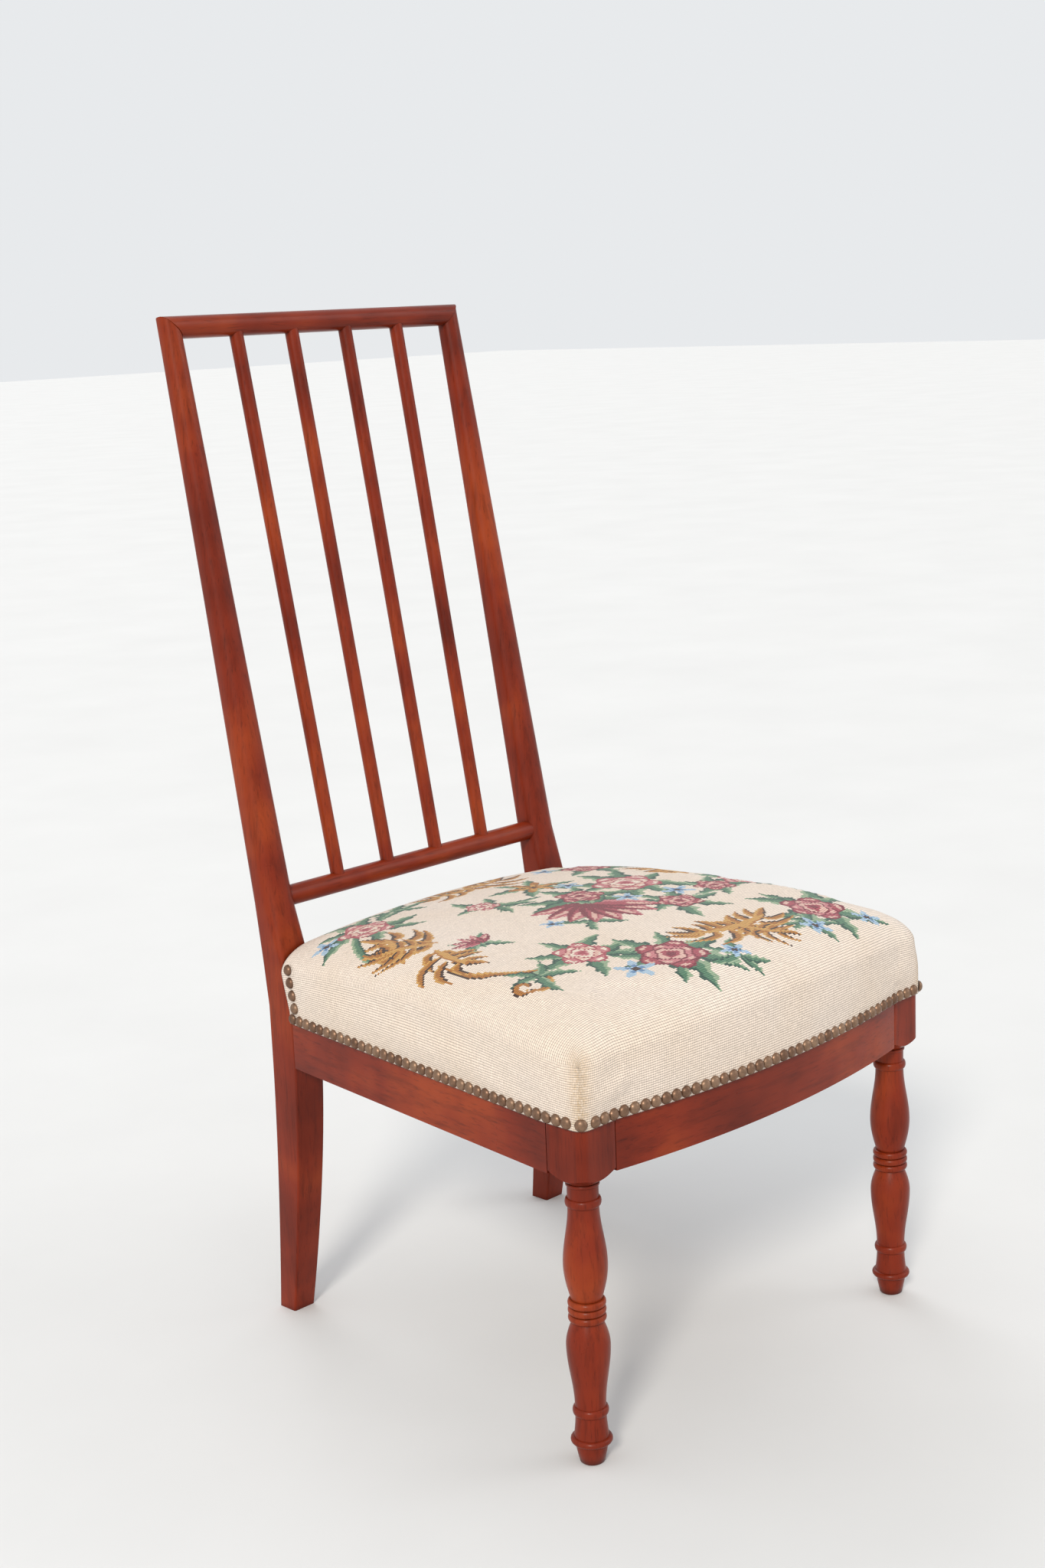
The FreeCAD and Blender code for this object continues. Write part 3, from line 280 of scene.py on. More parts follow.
def show_wood(name, stretch):
    """Mahogany stain under a satin polish: cloudy colour, fine streaks and pores, and painted shade that
    darkens its hollows.
    """
    nodes = Nodes(name)
    streak = nodes.noise(scale=160, detail=6, roughness=0.65, stretch=stretch)
    pore = nodes.noise(scale=620, detail=2, stretch=stretch)
    hollow = nodes.add("ShaderNodeAmbientOcclusion", {"Distance": 0.009}, samples=6).outputs["AO"]
    colour = nodes.ramp(nodes.noise(scale=9, detail=3), *STAINS)
    colour = nodes.shade(colour, 0.85, streak, (0.32, 0.62), (0.5, 0.95), (0.72, 1.0))
    colour = nodes.shade(colour, 0.5, pore, (0.3, 0.45), (0.42, 1.0))
    # Painted shade: the colour darkens where the ambient occlusion finds the wood hemmed in, in grooves
    # and corners
    colour = nodes.shade(colour, 0.8, hollow, (0.25, 0.25), (0.8, 1.0))
    gloss = nodes.ramp(nodes.noise(scale=30, detail=5), (0.3, 0.27), (0.7, 0.42))
    nodes.set(base_color=colour, roughness=gloss, specular_ior_level=0.16, coat_weight=0.05,
              coat_roughness=0.12)
    nodes.bump(pore, strength=0.12, distance=0.0004)
    return nodes.material


def raw_wood():
    """Unfinished beech inside the seat, gone brown with age."""
    nodes = Nodes("raw_wood")
    streak = nodes.noise(scale=140, detail=6, roughness=0.6, stretch=(0.1, 1, 1))
    stain = nodes.noise(scale=14, detail=3)
    colour = nodes.shade(nodes.ramp(streak, *BEECHES), 0.6, stain, (0.3, 0.55), (0.65, 1.0))
    nodes.set(base_color=colour, roughness=0.8)
    nodes.bump(streak, strength=0.25, distance=0.0006)
    return nodes.material


def bronze():
    """Dull antique bronze, each head a little different, its patina darker and duller in patches."""
    nodes = Nodes("bronze")
    own = nodes.add("ShaderNodeNewGeometry").outputs["Random Per Island"]
    patina = nodes.noise(scale=260, detail=5, roughness=0.7)
    colour = nodes.shade(nodes.ramp(own, *BRONZES), 0.7, patina, (0.35, 0.55), (0.6, 1.0))
    nodes.set(base_color=colour, metallic=0.7, roughness=nodes.ramp(patina, (0.3, 0.5), (0.7, 0.33)))
    nodes.bump(patina, strength=0.15, distance=0.0003)
    return nodes.material


def woven(name, dark, light, thread):
    """Plain woven jute: two crossing sets of threads, with painted shade in the gaps between them."""
    nodes = Nodes(name)
    links = {"Vector": nodes.place(), "Scale": 0.5 / thread, "Distortion": 0.6}
    weave = [nodes.add("ShaderNodeTexWave", links, bands_direction=direction).outputs["Fac"]
             for direction in ("X", "Y")]
    cloth = nodes.math("MULTIPLY", *weave)
    fibre = nodes.noise(scale=900, roughness=0.7)
    # Painted shade: the dark tone fills the gaps between threads, the light tone their tops
    colour = nodes.ramp(cloth, (0.0, dark), (0.6, light))
    nodes.set(base_color=nodes.shade(colour, 0.6, fibre, (0.3, 0.6), (0.7, 1.0)), roughness=0.9)
    nodes.bump(cloth, strength=0.6, distance=thread / 3)
    return nodes.material


def needlepoint():
    """Wool tent stitches: colour per stitch, slanted ribs with painted shade in the furrows between
    them, faded and soiled in soft patches.
    """
    nodes = Nodes("needlepoint")
    wool = nodes.add("ShaderNodeAttribute", attribute_name="wool").outputs["Color"]
    stitch = nodes.add("ShaderNodeAttribute", attribute_name="stitch").outputs["Vector"]
    split = nodes.add("ShaderNodeSeparateXYZ", {"Vector": stitch})
    across, along = split.outputs["X"], split.outputs["Y"]
    slant = nodes.rib(nodes.math("ADD", across, along), SLANT_FALL)
    relief = nodes.math("MULTIPLY", nodes.rib(across, ACROSS_FALL), nodes.rib(along))
    relief = nodes.math("MULTIPLY", relief, slant)
    # Painted shade: the wool is darkened towards the furrows between the stitches' ribs
    colour = nodes.shade(wool, 1.0, relief, (0.05, 0.34), (0.62, 1.0))
    colour = nodes.shade(colour, 0.5, nodes.noise(scale=700, detail=3), (0.3, 0.82), (0.7, 1.0))
    colour = nodes.shade(colour, 0.7, nodes.noise(scale=11), *SOILS)
    nodes.set(base_color=colour, roughness=0.92, sheen_weight=0.15)
    nodes.bump(relief, strength=0.8, distance=STITCH / 3)
    return nodes.material


def paint_floor():
    nodes = Nodes("floor_paint")
    nodes.set(base_color=nodes.ramp(nodes.noise(scale=3, detail=5), *PAINTS), roughness=0.75)
    return nodes.material


WOOD_X = show_wood("wood_across", (GRAIN_STRETCH, 1, 1))
WOOD_Y = show_wood("wood_along", (1, GRAIN_STRETCH, 1))
WOOD_Z = show_wood("wood_upright", (1, 1, GRAIN_STRETCH))
RAW_WOOD = raw_wood()
BRONZE = bronze()
WEBBING = woven("jute_webbing", (0.16, 0.10, 0.05), (0.46, 0.34, 0.20), thread=0.0016)
HESSIAN = woven("hessian_cloth", (0.14, 0.09, 0.05), (0.42, 0.31, 0.19), thread=0.0022)
NEEDLEPOINT = needlepoint()


# Camera, floor and light

FLOOR_HALF = 30
WORLD_TINT, WORLD_STRENGTH = (0.96, 0.98, 1, 1), 0.84
# Soft far lamps: place they shine from, strength, blur of their shadows in degrees and tint
LAMPS = (
    ("key", (-2.65, -1.6, 2.0), 1.95, 12, (1, 0.95, 0.87)),
    ("fill", (2.4, -2.0, 1.6), 0.35, 30, (1, 1, 1)),
    ("rim", (1.0, 2.4, 2.2), 0.45, 30, (0.95, 0.97, 1)),
)


def camera():
    data = bpy.data.cameras.new("camera")
    data.sensor_width = SENSOR_MM
    data.lens = FOCAL_PIXELS / IMAGE_HEIGHT * SENSOR_MM
    eye = link("camera", data)
    eye.matrix_world = Matrix.Translation(EYE)
    for degrees, axis in ((EYE_AZIMUTH, "Z"), (90 - EYE_ELEVATION, "X"), (EYE_ROLL, "Z")):
        eye.matrix_world @= Matrix.Rotation(math.radians(degrees), 4, axis)
    bpy.context.scene.camera = eye


def studio():
    mesh = bpy.data.meshes.new("floor")
    mesh.from_pydata([(FLOOR_HALF * x, FLOOR_HALF * y, 0) for x, y in QUARTERS], [], [(0, 1, 2, 3)])
    link("floor", mesh, paint_floor())
    world = bpy.data.worlds.new("studio")
    world.use_nodes = True
    sky = world.node_tree.nodes["Background"].inputs
    sky["Color"].default_value = WORLD_TINT
    sky["Strength"].default_value = WORLD_STRENGTH
    bpy.context.scene.world = world
    bpy.context.scene.view_settings.view_transform = "Standard"
    for name, spot, power, blur, tint in LAMPS:
        lamp = bpy.data.lights.new(name, "SUN")
        lamp.energy, lamp.angle, lamp.color = power, math.radians(blur), tint
        holder = link(name, lamp)
        holder.location = spot
        holder.rotation_euler = (-Vector(spot)).to_track_quat("-Z", "Y").to_euler()


# Seat surface

def half_width(y, grow):
    """X of the seat's side: straight past the leg block, then narrowing to the rear post."""
    share = np.clip((y - LEG_HIGH.y) / (POST_FRONT - LEG_HIGH.y), 0, 1)
    fade = 1 - ease(1 - (POST_FRONT - y) / BULGE_FADE)
    return LEG_HIGH.x + (POST_HIGH.x - LEG_HIGH.x) * share + HEM_GROW + (grow - HEM_GROW) * fade


def plan(side, y_flat, grow, corner):
    """Plan of the seat. Side runs from -1 to 1, y_flat is the depth before the front bow is added."""
    x = side * half_width(y_flat, grow)
    front, back = SEAT_FRONT - grow, SEAT_BACK + grow
    to_front = (back - y_flat) / (back - front)
    y = y_flat - FRONT_BOW * np.clip(1 - (x / LEG_LOW.x) ** 2, 0, 1) * to_front ** 2
    # Square corner to round corner
    past_x = np.abs(x) - (LEG_HIGH.x + grow - corner)
    past_y = front + corner - y
    inside = (past_x > 0) & (past_y > 0)
    reach = np.maximum(np.hypot(past_x, past_y), TINY)
    pull = np.where(inside, np.maximum(past_x, past_y) / reach, 1)
    x = np.where(inside, np.sign(x) * (np.abs(x) - past_x * (1 - pull)), x)
    return x, np.where(inside, y + past_y * (1 - pull), y)


def crown(x, y):
    """Height of the stuffed top before its rim is rounded."""
    from_peak = y - (SEAT_FRONT + CROWN_PEAK_DEPTH)
    side_fall = x ** 2 / (2 * CROWN_SIDE_RADIUS)
    return COVER_HIGH.z - CLOTH_CAP - side_fall - from_peak ** 2 / (2 * CROWN_LENGTH_RADIUS)


def swell(z):
    return HEM_GROW + SEAT_BULGE * ease((z - RAIL_TOP) / SWELL_HEIGHT)


def rim_spread(low, high, pitch):
    """Lines from one edge of the seat to the other, a stitch apart along its rounded surface."""
    turn = np.linspace(0, math.pi / 2, RIM_STEPS)
    insets, falls = RIM_REACH * (1 - np.cos(turn)), RIM_DROP * np.sin(turn)
    arc = np.concatenate([[0], np.cumsum(np.hypot(np.diff(insets), np.diff(falls)))])
    length = high - low + 2 * (arc[-1] - RIM_REACH)
    runs = spread(0, length, pitch)
    run = np.minimum(runs, length - runs)
    inset = np.where(run < arc[-1], np.interp(run, arc, insets), RIM_REACH + run - arc[-1])
    return np.where(runs < length / 2, low + inset, high - inset)


def snap(lines, place):
    """Move the nearest line to a place and return its number."""
    number = int(np.argmin(np.abs(lines - place)))
    lines[number] = place
    return number


class Seat:
    """Stitch grid of the cover: one top and four walls, and the lining beside the rear posts."""

    def __init__(self, pitch):
        self.pitch = pitch
        reach = float(half_width(0, TOP_GROW))
        notch_side = NOTCH_X / half_width(SEAT_BACK, TOP_GROW)
        self.sides = rim_spread(-reach, reach, pitch) / reach
        self.notch_column = snap(self.sides, -notch_side)
        snap(self.sides, notch_side)
        rise = crown(POST_HIGH.x, POST_FRONT) - RIM_DROP - RAIL_TOP
        self.notch_y = POST_FRONT - POST_GAP + POST_RECEDE * rise
        self.depths = rim_spread(SEAT_FRONT - TOP_GROW, SEAT_BACK + TOP_GROW, pitch)
        self.notch_row = snap(self.depths, self.notch_y)
        self.points, self.faces, self.cells = [], [], []

    def top_points(self):
        side, depth = np.meshgrid(self.sides, self.depths, indexing="ij")
        x, y = plan(side, depth, TOP_GROW, TOP_CORNER)
        from_side = np.clip(1 - (1 - np.abs(side)) * half_width(depth, TOP_GROW) / RIM_REACH, 0, 1)
        from_front = np.clip(1 - (depth - SEAT_FRONT + TOP_GROW) / RIM_REACH, 0, 1)
        from_back = np.clip(1 - (SEAT_BACK + TOP_GROW - depth) / RIM_REACH, 0, 1)
        from_end = np.maximum(from_front, from_back)
        edge, other = np.maximum(from_side, from_end), np.minimum(from_side, from_end)
        edge = edge + RIM_BLEND * (1 - edge) * other ** 2 / np.maximum(edge, TINY)
        return x, y, crown(x, y) - RIM_DROP * (1 - np.sqrt(np.maximum(1 - edge ** 2, 0)))

    def wall_points(self, side, depth):
        """Columns of a wall under edge points given by side and depth, from the rim to the hem."""
        side, depth = np.broadcast_arrays(side, depth)
        x, y = plan(side, depth, TOP_GROW, TOP_CORNER)
        rim = (crown(x, y) - RIM_DROP)[:, None]
        side, depth = side[:, None], depth[:, None]
        rows = round((float(np.mean(rim)) - COVER_LOW.z) / self.pitch) + 1
        z = rim + (COVER_LOW.z - rim) * np.linspace(0, 1, rows)[None, :]
        lean = POST_RECEDE * (np.maximum(z, RAIL_TOP) - rim)
        share = (depth - SEAT_FRONT) / (self.notch_y - SEAT_FRONT)
        grow, flat = swell(z), depth + np.where(np.abs(side) == 1, lean * share, 0)
        flat = np.where(depth <= SEAT_FRONT, SEAT_FRONT - grow, flat)
        flat = np.where(depth >= SEAT_BACK, SEAT_BACK + grow, flat)
        up = ease((z - RAIL_TOP) / (rim - RAIL_TOP))
        x, y = plan(side + 0 * z, flat, grow, HEM_CORNER + (TOP_CORNER - HEM_CORNER) * up)
        return x, y, z

    def lay(self, x, y, z, skip=None):
        """Add a grid of points and the stitches between them."""
        columns, rows = x.shape
        cells = np.argwhere(np.ones((columns - 1, rows - 1), bool) if skip is None else ~skip)
        spots = len(self.points) + cells @ (rows, 1)
        self.points += list(zip(x.ravel(), y.ravel(), z.ravel()))
        self.faces += [(spot, spot + rows, spot + rows + 1, spot + 1) for spot in spots.tolist()]
        self.cells += cells.tolist()

    def build(self):
        x, y, z = self.top_points()
        columns, rows = x.shape
        notch = np.zeros((columns - 1, rows - 1), bool)
        notch[:self.notch_column, self.notch_row:] = True
        notch[-self.notch_column:, self.notch_row:] = True
        self.lay(x, y, z, notch)
        self.top_cells = len(self.faces)
        self.top_centres = [array[:-1, :-1] / 2 + array[1:, 1:] / 2 for array in (x, y)]
        self.lay(*self.wall_points(self.sides, self.depths[0]))
        between_posts = self.sides[self.notch_column:columns - self.notch_column]
        self.lay(*self.wall_points(between_posts, self.depths[-1]))
        for edge in (-1.0, 1.0):
            self.lay(*self.wall_points(edge, self.depths[:self.notch_row + 1]))
        self.line_notch(np.stack([x, y, z], -1))

    def line_notch(self, top):
        """Cover turned down in front of each rear post, leaning with it, and beside it."""
        last = len(self.sides) - 1
        flank = np.arange(LINING_INSET, self.notch_column + 1)
        for columns in (flank, last - flank):
            self.drop(top[columns, self.notch_row], POST_RECEDE * LINING_DEPTH)
        for column in (self.notch_column, last - self.notch_column):
            self.drop(top[column, self.notch_row:])

    def drop(self, rim, forward=0.0):
        x, y, z = rim.T
        self.lay(np.stack([x, x], 1), np.stack([y, y - forward], 1), np.stack([z, z - LINING_DEPTH], 1))


# Needlepoint design: a wreath of roses and gilt leaves round a bouquet, a common pattern of such work

CREAM, WORN = (0.87, 0.745, 0.64), (0.56, 0.38, 0.19)
CRIMSON, ROSE = (0.21, 0.018, 0.038), (0.40, 0.065, 0.095)
PINK, BLUSH = (0.60, 0.21, 0.23), (0.76, 0.47, 0.40)
PINE, GREEN, SAGE = (0.022, 0.085, 0.060), (0.085, 0.21, 0.125), (0.30, 0.42, 0.27)
BLUE, SKY = (0.13, 0.26, 0.47), (0.40, 0.56, 0.72)
UMBER, GOLD, OCHRE = (0.050, 0.020, 0.010), (0.43, 0.165, 0.022), (0.62, 0.33, 0.08)
DEEP, SOFT = (CRIMSON, ROSE, PINK, BLUSH), (ROSE, PINK, BLUSH, CREAM)
FOLIAGE, GILT = (PINE, GREEN, SAGE), (UMBER, GOLD, OCHRE)

DESIGN_SEED, WEAR_SEED = 3, 7
# Wool: uneven dyeing, and wear at the front ridges with its reach, strength and least share
WOOL_VARIATION = 0.035
RIDGE_WEAR, WEAR_STRENGTH, WEAR_LEAST = 0.0095, 0.7, 0.4
# Stroke: points of its curve, its taper, depth of its teeth, and starts of its bands across it
CURVE_STEPS, TAPER_SKEW, TAPER_POWER, TOOTH_DEPTH = 48, 0.7, 0.8, 0.2
BAND_STARTS = (-2, -0.5, 0.4)
STEM_WIDTH = 0.0085
# Green leaf in shares of its length, and a spray of leaves in degrees and shares
LEAF_BOW, LEAF_WIDTH, LEAF_TEETH = 0.25, 0.40, 4
SPRAY_TURN, SPRAY_JITTER, SPRAY_RANGE = 40, 16, 0.15
# Rose: reach, petals, turn and tone of each ring, then reaches, petals, turn and extent of pale edges
ROSE_RINGS = (
    (1.0, 5, 0.0, 0), (0.90, 5, 0.0, 1), (0.74, 5, 0.65, 0), (0.66, 5, 0.65, 2),
    (0.50, 4, 0.2, 0), (0.43, 4, 0.2, 3), (0.27, 3, 0.0, 1), (0.16, 3, 0.0, 0),
)
ROSE_EDGES = ((0.74, 0.86, 5, 0.0, 0.55), (0.52, 0.62, 5, 0.65, 0.6))
ROSE_WAVE, RANDOM_TURN = 0.12, 6
# Fan flower in shares of its radius, with two leaves as its cup, and daisy
PETAL_BEND, PETAL_END, PETAL_WIDTH = 0.55, 1.12, 0.44
VEIN_START, VEIN_BEND, VEIN_WIDTH = 0.5, 0.7, 0.10
CUP_LEAF, CUP_TURN = 0.55, 150
DAISY_REACH, DAISY_WAVE, DAISY_EYE, DAISY_PUPIL = 0.66, 0.34, 0.5, 0.2
# Gilt leaf in shares of its size: lobes on each side of its rib, then its tip and rib, and scroll end
LOBES, RIB_START, RIB_RUN = 4, -0.5, 0.9
LOBE_REACH, LOBE_SPREAD, LOBE_WIDTH, LOBE_BACK, LOBE_SHOULDER = 0.5, 0.66, 0.22, 0.04, 0.85
SPREAD_START, SPREAD_RUN, SPREAD_RANGE, REACH_RANGE = 0.22, 0.6, 0.2, 0.3
GILT_TIP, GILT_RIB = ((0.2, 0), (0.7, 0.12), (1.05, 0)), ((-0.75, 0), (0, 0.06), (0.6, 0))
CURL_ARM, CURL_EDGE = 0.24, 0.1


def toward(degrees):
    """Unit step in a direction."""
    return complex(math.cos(math.radians(degrees)), math.sin(math.radians(degrees)))


class Canvas:
    """Wool colours of the top's stitches, painted back to front. Places are complex: plan x and y."""

    def __init__(self, x, y):
        self.spots = x + 1j * y
        self.wool = np.empty(x.shape + (3,))
        self.wool[:] = CREAM
        self.draws = np.random.default_rng(DESIGN_SEED)

    def vary(self, reach):
        """A random share about one."""
        return self.draws.uniform(1 - reach, 1 + reach)

    def polar(self, place, radius, turn):
        gap = self.spots - place
        return np.abs(gap) / radius, np.angle(gap) + turn

    def stroke(self, start, bend, end, width, tones, teeth=0):
        """Tapered curve with a dark, a middle and a light band, toothed like a leaf if asked."""
        shares = np.linspace(0, 1, CURVE_STEPS)
        curve = (1 - shares) ** 2 * start + 2 * shares * (1 - shares) * bend + shares ** 2 * end
        runs = (1 - shares) * (bend - start) + shares * (end - bend)
        near = np.abs(self.spots - bend) < np.abs(curve - bend).max() + width
        gaps = self.spots[near][:, None] - curve
        nearest = np.argmin(gaps.real ** 2 + gaps.imag ** 2, 1)
        gap, run, share = gaps[np.arange(len(gaps)), nearest], runs[nearest], shares[nearest]
        side = (run.conjugate() * gap).imag / np.abs(run)
        half = width / 2 * np.sin(np.pi * share ** TAPER_SKEW) ** TAPER_POWER + TINY
        if teeth:
            half = half * (1 - TOOTH_DEPTH + TOOTH_DEPTH * np.cos(2 * np.pi * teeth * share))
        inside = np.abs(gap) < half
        patch = self.wool[near]
        for edge, tone in zip(BAND_STARTS, tones):
            patch[inside & (side / half > edge)] = tone
        self.wool[near] = patch

    def leaf(self, place, length, heading):
        along = toward(heading)
        bow = self.draws.uniform(-LEAF_BOW, LEAF_BOW)
        self.stroke(place, place + length * (along * complex(0.5, bow)), place + length * along,
                    LEAF_WIDTH * length, FOLIAGE, LEAF_TEETH)

    def spray(self, place, length, count):
        """Leaves all round a flower, each a little off its even place."""
        for number in range(count):
            jitter = self.draws.uniform(-SPRAY_JITTER, SPRAY_JITTER)
            self.leaf(place, length * self.vary(SPRAY_RANGE), SPRAY_TURN + 360 * number / count + jitter)

    def rose(self, place, radius, tones):
        reach, angle = self.polar(place, radius, self.draws.uniform(0, RANDOM_TURN))
        for size, petals, turn, tone in ROSE_RINGS:
            wave = 1 - ROSE_WAVE + ROSE_WAVE * np.cos(petals * (angle + turn))
            self.wool[reach < size * wave] = tones[tone]
        for low, high, petals, turn, extent in ROSE_EDGES:
            petal = np.cos(petals * (angle + turn)) > extent
            self.wool[(reach > low) & (reach < high) & petal] = tones[-1]

    def fan(self, place, radius, heading, spread_degrees, petals):
        """Half-open flower seen from the side: petals fanned about a heading over a green cup."""
        for number in range(petals):
            petal = radius * toward(heading + spread_degrees * (2 * number / (petals - 1) - 1))
            self.stroke(place, place + PETAL_BEND * petal, place + PETAL_END * petal,
                        PETAL_WIDTH * radius, DEEP[:3])
            self.stroke(place + VEIN_START * petal, place + VEIN_BEND * petal, place + petal,
                        VEIN_WIDTH * radius, (DEEP[3],) * 3)
        for turn in (CUP_TURN, -CUP_TURN):
            self.leaf(place, radius * CUP_LEAF, heading + turn)

    def daisy(self, place, radius, tones=(BLUE, SKY), petals=5):
        reach, angle = self.polar(place, radius, self.draws.uniform(0, RANDOM_TURN))
        edge = DAISY_REACH + DAISY_WAVE * np.cos(petals * angle)
        self.wool[reach < edge] = tones[1]
        self.wool[reach < edge * DAISY_EYE] = tones[0]
        self.wool[reach < DAISY_PUPIL] = UMBER

    def gilt_leaf(self, place, size, heading, bend):
        """Acanthus: lobes that curl forward along a bent rib, each dark along one edge."""
        def spot(along, across):
            return place + size * (along * toward(heading + bend * along / 2)
                                   + 1j * across * toward(heading + bend * along))

        width = size * LOBE_WIDTH
        for number in range(LOBES):
            share = number / (LOBES - 1)
            base = RIB_START + RIB_RUN * share
            fullness = math.sin(math.pi * (SPREAD_START + SPREAD_RUN * share))
            wide = LOBE_SPREAD * fullness * self.vary(SPREAD_RANGE)
            for side, tones in ((1, GILT), (-1, GILT[::-1])):
                reach = LOBE_REACH * self.vary(REACH_RANGE)
                self.stroke(spot(base, 0), spot(base - LOBE_BACK, LOBE_SHOULDER * side * wide),
                            spot(base + reach, side * wide), width, tones)
        self.stroke(*(spot(*shares) for shares in GILT_TIP), width, GILT)
        self.stroke(*(spot(*shares) for shares in GILT_RIB), width, (GOLD, OCHRE, OCHRE))

    def curl(self, place, radius, turn):
        """Gilt scroll end."""
        reach, angle = self.polar(place, radius, turn)
        arm = reach - (angle % (2 * math.pi)) / (2 * math.pi)
        self.wool[(reach < 1) & (np.abs(arm) < CURL_ARM)] = GOLD
        self.wool[(reach < 1) & (arm > CURL_EDGE) & (arm < CURL_ARM)] = UMBER


# Design in plan millimetres. Stems: start, bend, end and tones
STEMS = (
    ((-182, -60), (-200, -130), (-125, -150), GILT), ((-150, -150), (-178, -185), (-186, -160), GILT),
    ((-80, -160), (-60, -175), (-10, -215), FOLIAGE), ((60, -200), (100, -235), (160, -215), FOLIAGE),
    ((-190, 20), (-175, 75), (-130, 100), FOLIAGE), ((185, -150), (205, -80), (178, -20), FOLIAGE),
    ((170, 20), (165, 70), (110, 105), GILT), ((-110, 100), (-50, 125), (20, 115), FOLIAGE),
    ((-10, -70), (-45, -85), (-65, -65), FOLIAGE), ((10, 10), (-30, 20), (-55, 0), FOLIAGE),
)
# Place, then length and number of leaves
SPRAYS = (
    (-101, -143, 54, 7), (-53, -199, 60, 8), (146, -195, 60, 8), (-136, 90, 52, 7), (178, -85, 46, 6),
    (140, 78, 50, 7), (-128, -48, 32, 4), (-160, -150, 34, 5), (69, -104, 52, 7), (138, -87, 42, 5),
    (93, -17, 64, 8), (18, -30, 56, 7), (38, 49, 46, 6), (-40, 30, 40, 5), (-10, -236, 34, 5),
    (105, -222, 34, 5), (-30, -90, 34, 4), (-80, 118, 34, 4),
)
# Place, then size, heading and bend in degrees
GILT_LEAVES = (
    (-160, 14, 52, 66, 50), (-168, 4, 40, 130, -40), (-174, -54, 42, 262, 50), (62, -196, 48, 10, 40),
    (20, -190, 46, 165, -50), (50, -215, 34, 300, 40), (174, 0, 46, 96, 60), (40, 110, 46, 8, 40),
    (-10, 112, 40, 172, -40),
)
# Place and radius, then turn, or heading, spread and petals, or tones and petals
CURLS = ((-182, -156, 13, 1.5),)
FANS = ((12, -50, 58, 236, 72, 8), (-128, -50, 24, 95, 60, 5))
ROSES = (
    (-101, -143, 26, SOFT), (-53, -199, 33, DEEP), (146, -195, 31, DEEP), (-136, 90, 27, SOFT),
    (178, -85, 22, SOFT), (140, 78, 26, DEEP), (69, -104, 23, DEEP), (138, -87, 21, DEEP),
    (93, -17, 35, SOFT), (26, -22, 24, DEEP), (-44, 34, 17, SOFT),
)
DAISIES = (
    (38, 49, 26, (UMBER, GOLD), 6), (36, 47, 17, (GOLD, OCHRE), 6), (-98, -200, 19), (-6, -228, 14),
    (106, -228, 16), (176, -232, 14), (100, -75, 17), (48, -60, 15), (56, 22, 15), (-172, 104, 14),
    (108, 104, 15), (186, -50, 12), (-58, -68, 12),
)


def paint_design(canvas):
    for *curve, tones in STEMS:
        canvas.stroke(*(complex(*spot) / 1000 for spot in curve), STEM_WIDTH, tones)
    layers = ((canvas.spray, SPRAYS), (canvas.gilt_leaf, GILT_LEAVES), (canvas.curl, CURLS),
              (canvas.fan, FANS), (canvas.rose, ROSES), (canvas.daisy, DAISIES))
    for paint, motifs in layers:
        for x, y, size, *shape in motifs:
            paint(complex(x, y) / 1000, size / 1000, *shape)


def wool_colours(seat):
    """One colour a stitch: the design on the top, plain cream on the walls, worn at the front ridges."""
    canvas = Canvas(*seat.top_centres)
    paint_design(canvas)
    colours = np.empty((len(seat.faces), 3))
    colours[:] = CREAM
    columns, rows = np.array(seat.cells[:seat.top_cells]).T
    colours[:seat.top_cells] = canvas.wool[columns, rows]
    centres = np.array(seat.points)[np.array(seat.faces)].mean(1)
    ridge = np.hypot(np.abs(centres[:, 0]) - LEG_HIGH.x, centres[:, 1] - SEAT_FRONT) / RIDGE_WEAR
    random = np.random.default_rng(WEAR_SEED)
    wear = WEAR_STRENGTH * np.exp(-ridge ** 2) * random.uniform(WEAR_LEAST, 1, len(colours))
    wear = wear[:, None]
    colours = colours * (1 - wear) + np.array(WORN) * wear
    return np.clip(colours * random.normal(1, WOOL_VARIATION, (len(colours), 1)), 0, 1)


# Seat cover

def held(spot):
    """Where the cover is nailed down or wedged against a rear post."""
    at_post = abs(spot.x) > NOTCH_X - CLOTH_PITCH and spot.y > POST_FRONT - CLOTH_PITCH
    return spot.z < RAIL_TOP or at_post


def swelling():
    """Places on a coarse cover, and how far its stuffing pushes each of them out."""
    seat = Seat(CLOTH_PITCH)
    seat.build()
    mesh = mesh_of("swelling", seat.points, seat.faces)
    if sum(face.normal.z * face.area for face in mesh.polygons) < 0:
        mesh.flip_normals()
    cloth = link("swelling", mesh)
    pins = cloth.vertex_groups.new(name="held")
    pins.add([vertex.index for vertex in mesh.vertices if held(vertex.co)], 1, "REPLACE")
    run = cloth.modifiers.new("cloth", "CLOTH")
    run.settings.vertex_group_mass = "held"
    run.settings.use_pressure = True
    run.settings.uniform_pressure_force = CLOTH_PRESSURE
    run.settings.effector_weights.gravity = 0
    for number in range(1, CLOTH_FRAMES + 1):
        bpy.context.scene.frame_set(number)
    pushed = cloth.evaluated_get(bpy.context.evaluated_depsgraph_get()).to_mesh()
    spots, moves = [], []
    for before, after in zip(mesh.vertices, pushed.vertices):
        push = (after.co - before.co).dot(before.normal)
        spots.append(before.co.copy())
        moves.append(before.normal * min(max(push, 0), CLOTH_CAP))
    bpy.context.scene.frame_set(1)
    bpy.data.objects.remove(cloth)
    return spots, moves


def swell_out(mesh):
    """Carry the coarse cover's swelling over to the stitches."""
    spots, moves = swelling()
    tree = KDTree(len(spots))
    for number, spot in enumerate(spots):
        tree.insert(spot, number)
    tree.balance()
    for vertex in mesh.vertices:
        near = tree.find_n(vertex.co, CLOTH_NEIGHBOURS)
        shares = [1 / (gap + CLOTH_BLUR) ** 2 for _, _, gap in near]
        push = sum((moves[number] * share for (_, number, _), share in zip(near, shares)), Vector())
        vertex.co += push / sum(shares)


